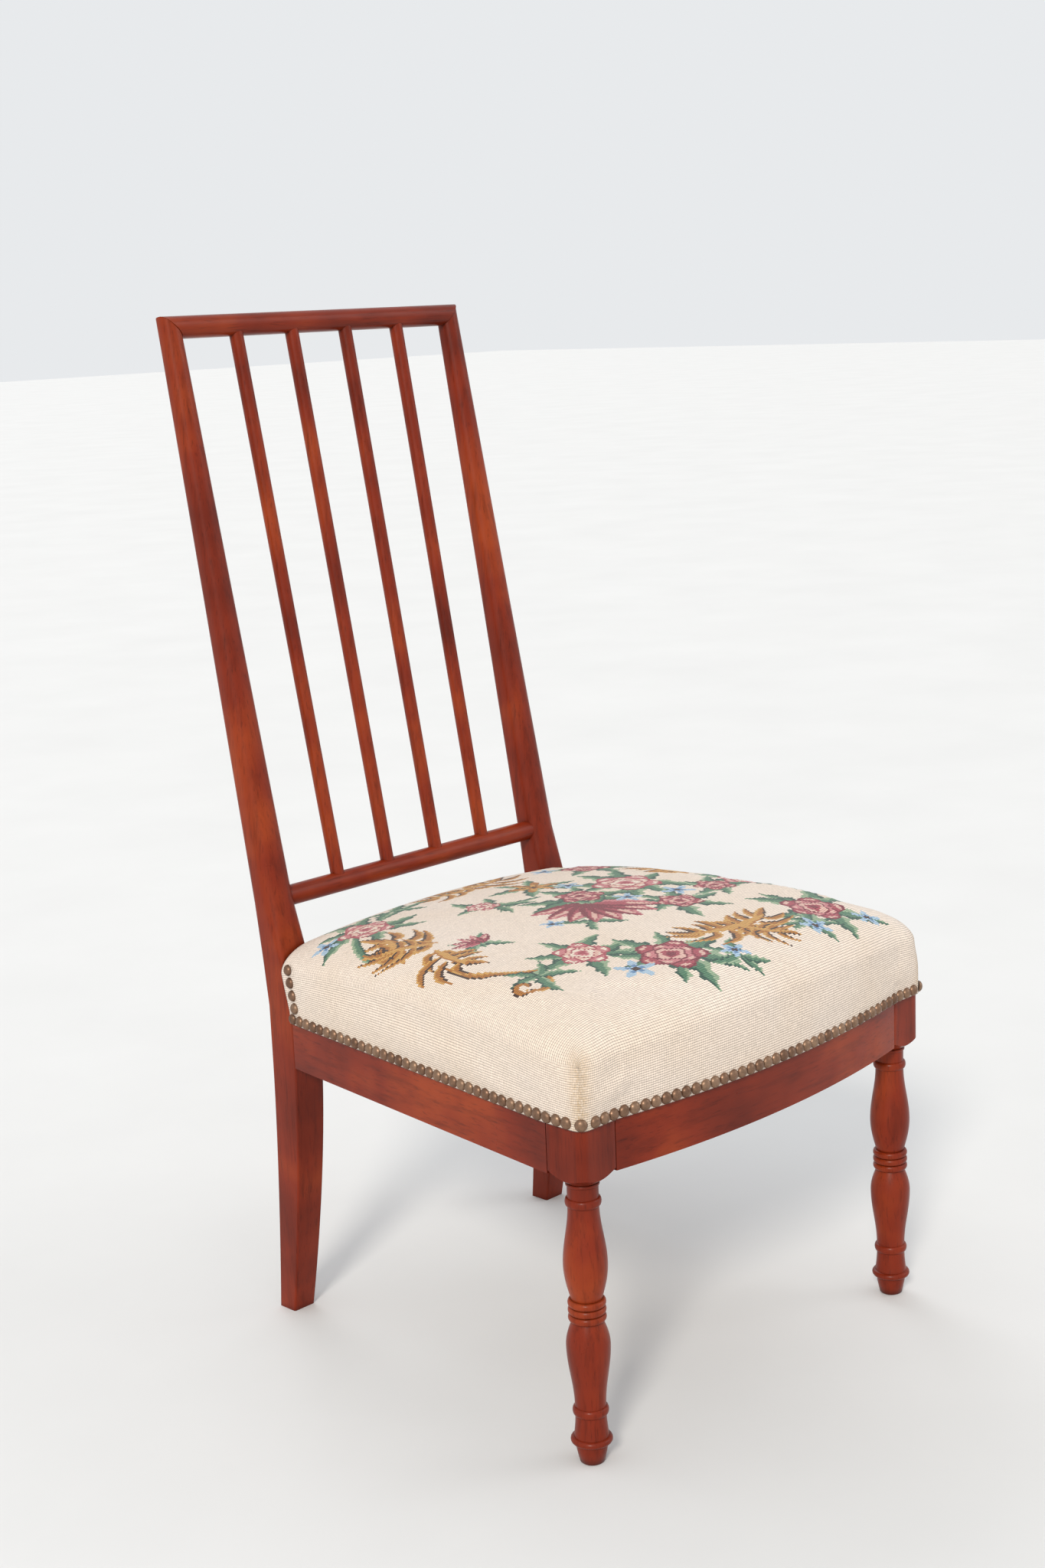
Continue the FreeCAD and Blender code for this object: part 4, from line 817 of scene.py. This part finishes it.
def soften(mesh):
    """Round the front ridges, where the top's corner meets two walls."""
    shape = bmesh.new()
    shape.from_mesh(mesh)
    near = [vertex for vertex in shape.verts if vertex.co.z > RAIL_TOP and not vertex.is_boundary
            and math.hypot(abs(vertex.co.x) - LEG_HIGH.x, vertex.co.y - SEAT_FRONT) < SOFTEN_REACH]
    for _ in range(SOFTEN_STEPS):
        bmesh.ops.smooth_vert(shape, verts=near, factor=SOFTEN_FACTOR,
                              use_axis_x=True, use_axis_y=True, use_axis_z=True)
    shape.to_mesh(mesh)
    shape.free()


def slacken(mesh):
    """Shallow unevenness of hand-stuffed hair, fading out at the nailed hem."""
    spots = [vertex.co.copy() for vertex in mesh.vertices]
    normals = [vertex.normal.copy() for vertex in mesh.vertices]
    for vertex, spot, normal in zip(mesh.vertices, spots, normals):
        free = float(ease((spot.z - RAIL_TOP) / SWELL_HEIGHT))
        vertex.co = spot + normal * (SLACK * free * noise.noise(spot * SLACK_SCALE))


def stitched_mesh(name):
    """Cover with the colour and the place of each stitch, which the weld leaves with its corners."""
    seat = Seat(STITCH)
    seat.build()
    mesh = bpy.data.meshes.new(name)
    mesh.from_pydata(seat.points, [], seat.faces)
    wool = mesh.attributes.new("wool", "FLOAT_COLOR", "CORNER")
    stitch = mesh.attributes.new("stitch", "FLOAT_VECTOR", "CORNER")
    colours = np.ones((len(seat.faces), 4, 4))
    colours[:, :, :3] = wool_colours(seat)[:, None, :]
    wool.data.foreach_set("color", colours.ravel())
    corners = np.array([(0, 0), (1, 0), (1, 1), (0, 1)], float)
    places = np.zeros((len(seat.faces), 4, 3))
    places[:, :, :2] = np.array(seat.cells, float)[:, None, :] + corners
    stitch.data.foreach_set("vector", places.ravel())
    weld(mesh)
    return mesh


def seat_cover():
    mesh = stitched_mesh("needlepoint_seat")
    swell_out(mesh)
    soften(mesh)
    slacken(mesh)
    smooth(mesh)
    cover = link("needlepoint_seat", mesh, NEEDLEPOINT)
    thicken(cover, COVER_THICKNESS, -1)
    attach(cover, "root")
    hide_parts("needlepoint_cover", "hair_stuffing")


# Nails

NAIL_RADIUS, NAIL_HEIGHT = 0.0052, 0.0038
NAIL_TURNS, NAIL_RINGS = 16, 6
NAIL_TILT, NAIL_VARIATION = 0.06, 0.015
NAIL_SEED = 11


def nail_seats(node):
    """Seat point and outward direction of each nail head in a CAD node."""
    shape = bmesh.new()
    shape.from_mesh(bpy.data.objects[node].data)
    bmesh.ops.remove_doubles(shape, verts=shape.verts, dist=WELD)
    seats, seen = [], set()
    for start in shape.verts:
        stack, island = [start], []
        while stack:
            vertex = stack.pop()
            if vertex not in seen:
                seen.add(vertex)
                island.append(vertex.co.copy())
                stack += [edge.other_vert(vertex) for edge in vertex.link_edges]
        if island:
            seats.append(nail_seat(np.array(island)))
    shape.free()
    return seats


def nail_seat(points):
    """Seat point and direction of one head, which is thinnest along its axis."""
    middle = points.mean(0)
    axis = np.linalg.svd(points - middle)[2][2]
    outward = middle - np.array((0, SEAT_FRONT + CROWN_PEAK_DEPTH, middle[2]))
    axis = axis if axis @ outward > 0 else -axis
    heights = (points - middle) @ axis
    return Vector(middle + axis * heights.min()), Vector(axis)


def dome(size):
    """Points of a nail head on the origin, ring by ring from its edge."""
    points = []
    for ring in range(NAIL_RINGS):
        lift = math.pi / 2 * ring / NAIL_RINGS
        radius = NAIL_RADIUS * size * math.cos(lift)
        for step in range(NAIL_TURNS):
            angle = 2 * math.pi * step / NAIL_TURNS
            points.append(Vector((radius * math.cos(angle), radius * math.sin(angle),
                                  NAIL_HEIGHT * math.sin(lift))))
    return points


def nail_row(node, random):
    """Domed heads in the places of the CAD node's nails, each sitting a little differently."""
    points, faces = [], []
    for seat, out in nail_seats(node):
        base = len(points)
        tilt = Vector(random.normal(0, NAIL_TILT, 3))
        turn = Vector((0, 0, 1)).rotation_difference((out + tilt).normalized()).to_matrix()
        size = 1 + random.normal(0, NAIL_VARIATION)
        points += [seat + turn @ spot for spot in dome(size)]
        faces += [tuple(base + corner for corner in face) for face in tube_faces(NAIL_RINGS, NAIL_TURNS)]
    mesh = mesh_of(f"dome_{node}", points, faces)
    smooth(mesh, sharp_degrees=60)
    row = link(f"dome_{node}", mesh, BRONZE)
    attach(row, "root")
    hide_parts(node)


# Legs and posts

def upright(name, node, rings, sharp_degrees):
    """Wooden piece through rings of points, in the place of a node."""
    points = [point for ring in rings for point in ring]
    mesh = mesh_of(name, points, tube_faces(len(rings), len(rings[0])))
    smooth(mesh, sharp_degrees)
    piece = link(name, mesh, WOOD_Z)
    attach(piece, "root")
    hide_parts(node)


# Turned front legs: radius and steps of the block's corners, then radii, heights and levels

BLOCK_ROUND, BLOCK_ARRIS, BLOCK_PITCH = (0.008, 8), (0.0012, 3), 0.003
LEG_NECK, LEG_VASE, LEG_RING, LEG_COLLAR, LEG_RIM = 0.0127, 0.0180, 0.0148, 0.0156, 0.0172
LEG_FOOT, LEG_TIP, LEG_FILLET = 0.0133, 0.0103, 0.0138
TIP_EASE, ANKLE_STEP, COLLAR_STEP, BELLY_INSET = 0.001, 0.001, 0.0006, 0.0006
FOOT_HEIGHT, RIM_HEIGHT, RING_HEIGHT, COLLAR_HEIGHT, FILLET_HEIGHT = 0.017, 0.006, 0.0075, 0.019, 0.003
SHOULDER_HEIGHT, SHOULDER_LIFT = 0.007, 0.003
BELLY_LEVEL = 0.7 * FOOT_HEIGHT
LOWER_RING_LEVEL, LOWER_VASE_LEVEL = 0.183 * RAIL_BOTTOM, 0.412 * RAIL_BOTTOM
UPPER_VASE_LEVEL, UPPER_RING_LEVEL = 0.690 * RAIL_BOTTOM, 0.905 * RAIL_BOTTOM
COLLAR_LEVEL, FILLET_LEVEL = 0.534 * RAIL_BOTTOM, RAIL_BOTTOM - SHOULDER_HEIGHT - FILLET_HEIGHT
COLLAR_BEADS = 3


def bead(low, height, inner, outer, steps=8):
    """Half-round ring as radius and height pairs."""
    turns = [math.pi * step / steps for step in range(steps + 1)]
    return [(inner + (outer - inner) * math.sin(turn), low + height * (1 - math.cos(turn)) / 2)
            for turn in turns]


def flank(low, high, start, end, wave, steps=18):
    """Side of a vase between two heights: wave turns a share of the height into a share of the swell."""
    shares = [step / steps for step in range(steps + 1)]
    return [(start + (end - start) * wave(share), low + (high - low) * share) for share in shares]


def ogee(share):
    return (1 - math.cos(math.pi * share)) / 2


def full(share):
    return math.sin(math.pi / 2 * share)


def hollow(share):
    return 1 - full(1 - share)


def leg_profile():
    """Radius and height pairs up the turned leg, from the tip to the fillet under the block."""
    half = RING_HEIGHT / 2
    collar_low, collar_high = COLLAR_LEVEL - COLLAR_HEIGHT / 2, COLLAR_LEVEL + COLLAR_HEIGHT / 2
    ankle, bead_height = LEG_FOOT + ANKLE_STEP, COLLAR_HEIGHT / COLLAR_BEADS
    beads = [bead(collar_low + number * bead_height, bead_height, LEG_NECK + COLLAR_STEP, LEG_COLLAR)
             for number in range(COLLAR_BEADS)]
    return [
        (LEG_TIP - TIP_EASE, 0), (LEG_TIP, TIP_EASE),
        (LEG_FOOT - BELLY_INSET, BELLY_LEVEL), (LEG_FOOT, FOOT_HEIGHT),
        *bead(FOOT_HEIGHT, RIM_HEIGHT, ankle, LEG_RIM),
        *flank(FOOT_HEIGHT + RIM_HEIGHT, LOWER_RING_LEVEL - half, ankle, LEG_NECK, full, steps=8),
        *bead(LOWER_RING_LEVEL - half, RING_HEIGHT, LEG_NECK, LEG_RING),
        *flank(LOWER_RING_LEVEL + half, LOWER_VASE_LEVEL, LEG_NECK, LEG_VASE, ogee),
        *flank(LOWER_VASE_LEVEL, collar_low, LEG_VASE, LEG_NECK, hollow),
        *sum(beads, []),
        *flank(collar_high, UPPER_VASE_LEVEL, LEG_NECK, LEG_VASE, full),
        *flank(UPPER_VASE_LEVEL, UPPER_RING_LEVEL - half, LEG_VASE, LEG_NECK, ogee),
        *bead(UPPER_RING_LEVEL - half, RING_HEIGHT, LEG_NECK, LEG_RING),
        *bead(FILLET_LEVEL, FILLET_HEIGHT, LEG_NECK, LEG_FILLET, steps=6),
    ]


def block_outline(side):
    """Square of the leg's block round its axis, with its outer front corner well rounded."""
    width = LEG_HIGH.x - LEG_LOW.x
    corners = [BLOCK_ROUND if quarter == (side, -1) else BLOCK_ARRIS for quarter in QUARTERS]
    outline = rounded_ring(width, width, corners)
    filled = []
    for here, after in zip(outline, outline[1:] + outline[:1]):
        count = max(1, round((after - here).length / BLOCK_PITCH))
        filled += [here.lerp(after, step / count) for step in range(count)]
    return filled


def front_leg(name, side):
    outline = block_outline(side)
    axis = Vector((side * (LEG_LOW.x + LEG_HIGH.x) / 2, (LEG_LOW.y + LEG_HIGH.y) / 2, 0))
    corner = max(spot.length for spot in outline)
    low = RAIL_BOTTOM - SHOULDER_HEIGHT

    def shoulder(reach):
        return low + (SHOULDER_HEIGHT + SHOULDER_LIFT) * (reach - LEG_NECK) / (corner - LEG_NECK)

    rings = [[(spot.normalized() * radius, z) for spot in outline] for radius, z in leg_profile()]
    rings.append([(spot, shoulder(spot.length)) for spot in outline])
    rings.append([(spot, RAIL_TOP) for spot in outline])
    rings = [[axis + Vector((*spot, z)) for spot, z in ring] for ring in rings]
    upright(f"turned_{name}", name, rings, sharp_degrees=40)


# Rear posts

POST_FOOT_WIDTH, POST_FOOT_DEPTH, POST_FOOT_KICK = 0.024, 0.022, 0.024
POST_SEAT_WIDTH, POST_SEAT_DEPTH = 0.033, 0.033
POST_TOP_WIDTH, POST_TOP_DEPTH = 0.020, 0.018
POST_ARRIS = 0.002
KICK_POWER, GAIN_POWER = 1.6, 1.55
LOWER_RAIL_HEIGHT = 0.398
POST_X = (POST_LOW.x + POST_HIGH.x) / 2
POST_Y = POST_FRONT + POST_SEAT_DEPTH / 2
CREST_Y, CREST_Z = CAD_BOX[1].y - POST_TOP_DEPTH / 2, CAD_BOX[1].z - POST_TOP_WIDTH / 2
RAKE = math.atan2(CREST_Y - POST_Y, CREST_Z - RAIL_TOP)
CREST_RISE = (CREST_Z - RAIL_TOP) / math.cos(RAKE)
LOWER_RAIL_RISE = (LOWER_RAIL_HEIGHT - RAIL_TOP) / math.cos(RAKE)
BEND_RISE, MIDDLE_RISE = 0.044, 0.6 * CREST_RISE
# Upper post: rise, width, depth, front and back rounding
UPPER_POST = (
    (0.0, POST_SEAT_WIDTH, POST_SEAT_DEPTH, POST_ARRIS, POST_ARRIS),
    (BEND_RISE, 0.0327, 0.0290, 0.0040, 0.0040),
    (LOWER_RAIL_RISE, 0.0318, 0.0288, 0.0134, 0.0075),
    (MIDDLE_RISE, 0.0252, 0.0228, 0.0110, 0.0070),
    (CREST_RISE, POST_TOP_WIDTH, POST_TOP_DEPTH, 0.0094, 0.0060),
)


def post_ring(width, depth, front, back, steps=7):
    """Outline of a post, with its edges rounded in front and at the back."""
    return rounded_ring(width, depth, [(radius, steps) for radius in (front, back, back, front)])


def sabre_rings(x, steps=14):
    """Rings of the sabre leg from the floor to the rail."""
    rings = []
    for step in range(steps + 1):
        share = step / steps
        swing, gain = (1 - share) ** KICK_POWER, 1 - (1 - share) ** GAIN_POWER
        width = POST_FOOT_WIDTH + gain * (POST_SEAT_WIDTH - POST_FOOT_WIDTH)
        depth = POST_FOOT_DEPTH + gain * (POST_SEAT_DEPTH - POST_FOOT_DEPTH)
        middle = Vector((x, POST_Y + swing * POST_FOOT_KICK, share * RAIL_BOTTOM))
        outline = post_ring(width, depth, POST_ARRIS, POST_ARRIS)
        rings.append([middle + Vector((*spot, 0)) for spot in outline])
    return rings


def upper_rings(x, steps=44):
    """Rings of the raked post from the top of the rail to its mitre with the crest."""
    rises, *sizes = zip(*UPPER_POST)
    rings = []
    for rise in np.linspace(0, CREST_RISE - POST_TOP_WIDTH, steps):
        outline = post_ring(*(float(np.interp(rise, rises, column)) for column in sizes))
        lean = RAKE * min(1, rise / BEND_RISE)
        rings.append([raked(x + spot.x, spot.y, rise, lean) for spot in outline])
    mitre = []
    for spot in post_ring(*UPPER_POST[-1][1:]):
        inward = POST_X + POST_TOP_WIDTH / 2 - abs(x + spot.x)
        mitre.append(raked(x + spot.x, spot.y, CREST_RISE + POST_TOP_WIDTH / 2 - inward, RAKE))
    return rings + [mitre]


def raked(x, off, rise, lean):
    """Point of the leaning back, off its middle plane by a distance towards the rear."""
    return Vector((x, POST_Y + rise * math.sin(RAKE) + off * math.cos(lean),
                   RAIL_TOP + rise * math.cos(RAKE) - off * math.sin(lean)))


def rear_post(name, side):
    rings = sabre_rings(side * POST_X) + upper_rings(side * POST_X)
    upright(f"shaped_{name}", name, rings, sharp_degrees=38)


# Webbing and hessian

WEBBING_WIDTH, WEBBING_THICKNESS, WEBBING_MARGIN = 0.050, 0.0014, 0.008
WEBBING_LIFT, WEBBING_CLEARANCE = 0.0009, 0.0001
WEBBING_PITCH, WEBBING_EDGES = 0.006, 9
STRAPS = 4
# A strap is level over a crossing and falls towards its edges, in shares of half a strap's width
CROSSING_START, CROSSING_SLOPE = 1.35, 0.9
HESSIAN_PITCH, HESSIAN_STEPS = 0.02, 24


def strap_middles(low, high):
    return np.linspace(low + WEBBING_WIDTH / 2, high - WEBBING_WIDTH / 2, STRAPS)


def strap(name, node, middle, low, high, crossings, along_y):
    """Jute strap that passes over and under the straps across it."""
    half = WEBBING_WIDTH / 2
    runs, edges = spread(low, high, WEBBING_PITCH), np.linspace(-half, half, WEBBING_EDGES)
    points = []
    for run in runs:
        z = RAIL_TOP + WEBBING_THICKNESS / 2 + WEBBING_CLEARANCE
        for centre, over in crossings:
            near = float(ease(CROSSING_START - abs(run - centre) / half * CROSSING_SLOPE))
            z += (WEBBING_LIFT if over else -WEBBING_LIFT) * near
        for edge in edges:
            points.append((middle + edge, run, z) if along_y else (run, middle + edge, z))
    mesh = mesh_of(name, points, sheet_faces(len(runs), len(edges)))
    smooth(mesh)
    piece = link(name, mesh, WEBBING)
    thicken(piece, WEBBING_THICKNESS)
    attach(piece, "root")
    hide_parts(node)


def webbing():
    long_low, long_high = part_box("webbing_lengthwise")
    cross_low, cross_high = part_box("webbing_crosswise")
    xs, ys = strap_middles(long_low.x, long_high.x), strap_middles(cross_low.y, cross_high.y)
    for number, x in enumerate(xs):
        crossings = [(y, (number + row) % 2 == 0) for row, y in enumerate(ys)]
        strap(f"webbing_long_{number + 1}", "webbing_lengthwise", x, long_low.y, long_high.y, crossings,
              True)
    for row, y in enumerate(ys):
        reach = float(half_width(y + WEBBING_WIDTH / 2, 0)) - WEBBING_MARGIN
        crossings = [(x, (number + row) % 2 == 1) for number, x in enumerate(xs)]
        strap(f"webbing_cross_{row + 1}", "webbing_crosswise", y, -reach, reach, crossings, False)


def hessian():
    """Hessian over the webbing, cut round the rear posts."""
    low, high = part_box("hessian_base")
    z = (low.z + high.z) / 2
    step_y = POST_FRONT - WEBBING_MARGIN
    rows = [(y, float(half_width(y, 0)) - WEBBING_MARGIN) for y in spread(low.y, step_y, HESSIAN_PITCH)]
    rows += [(y, POST_LOW.x - WEBBING_MARGIN) for y in spread(step_y, high.y, HESSIAN_PITCH)]
    points = [(half * (2 * step / HESSIAN_STEPS - 1), y, z)
              for y, half in rows for step in range(HESSIAN_STEPS + 1)]
    # No faces between the two rows at the step, which lie at one depth
    faces = [face for face in sheet_faces(len(rows), HESSIAN_STEPS + 1)
             if points[face[0]][1] != points[face[-1]][1]]
    mesh = mesh_of("hessian_cloth", points, faces)
    piece = link("hessian_cloth", mesh, HESSIAN)
    thicken(piece, high.z - low.z)
    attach(piece, "root")
    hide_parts("hessian_base")


# Wooden nodes that keep their CAD shape, by the start of their names

WOODS = {"front_seat_rail": WOOD_X, "back_seat_rail": WOOD_X, "crest_rail": WOOD_X,
         "lower_back_rail": WOOD_X, "side_seat_rail": WOOD_Y, "spindle": WOOD_Z,
         "corner_block": RAW_WOOD, "mitre_dowel": RAW_WOOD}


def dress_frame():
    for start, wood in WOODS.items():
        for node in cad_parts:
            if node.startswith(start):
                materials = bpy.data.objects[node].data.materials
                materials.clear()
                materials.append(wood)


camera()
studio()
dress_frame()
for end, side in SIDES.items():
    front_leg(f"front_leg_{end}", side)
    rear_post(f"rear_post_{end}", side)
seat_cover()
draws = np.random.default_rng(NAIL_SEED)
for row in ("front", "left", "right", "back", "post_left", "post_right"):
    nail_row(f"nails_{row}", draws)
webbing()
hessian()
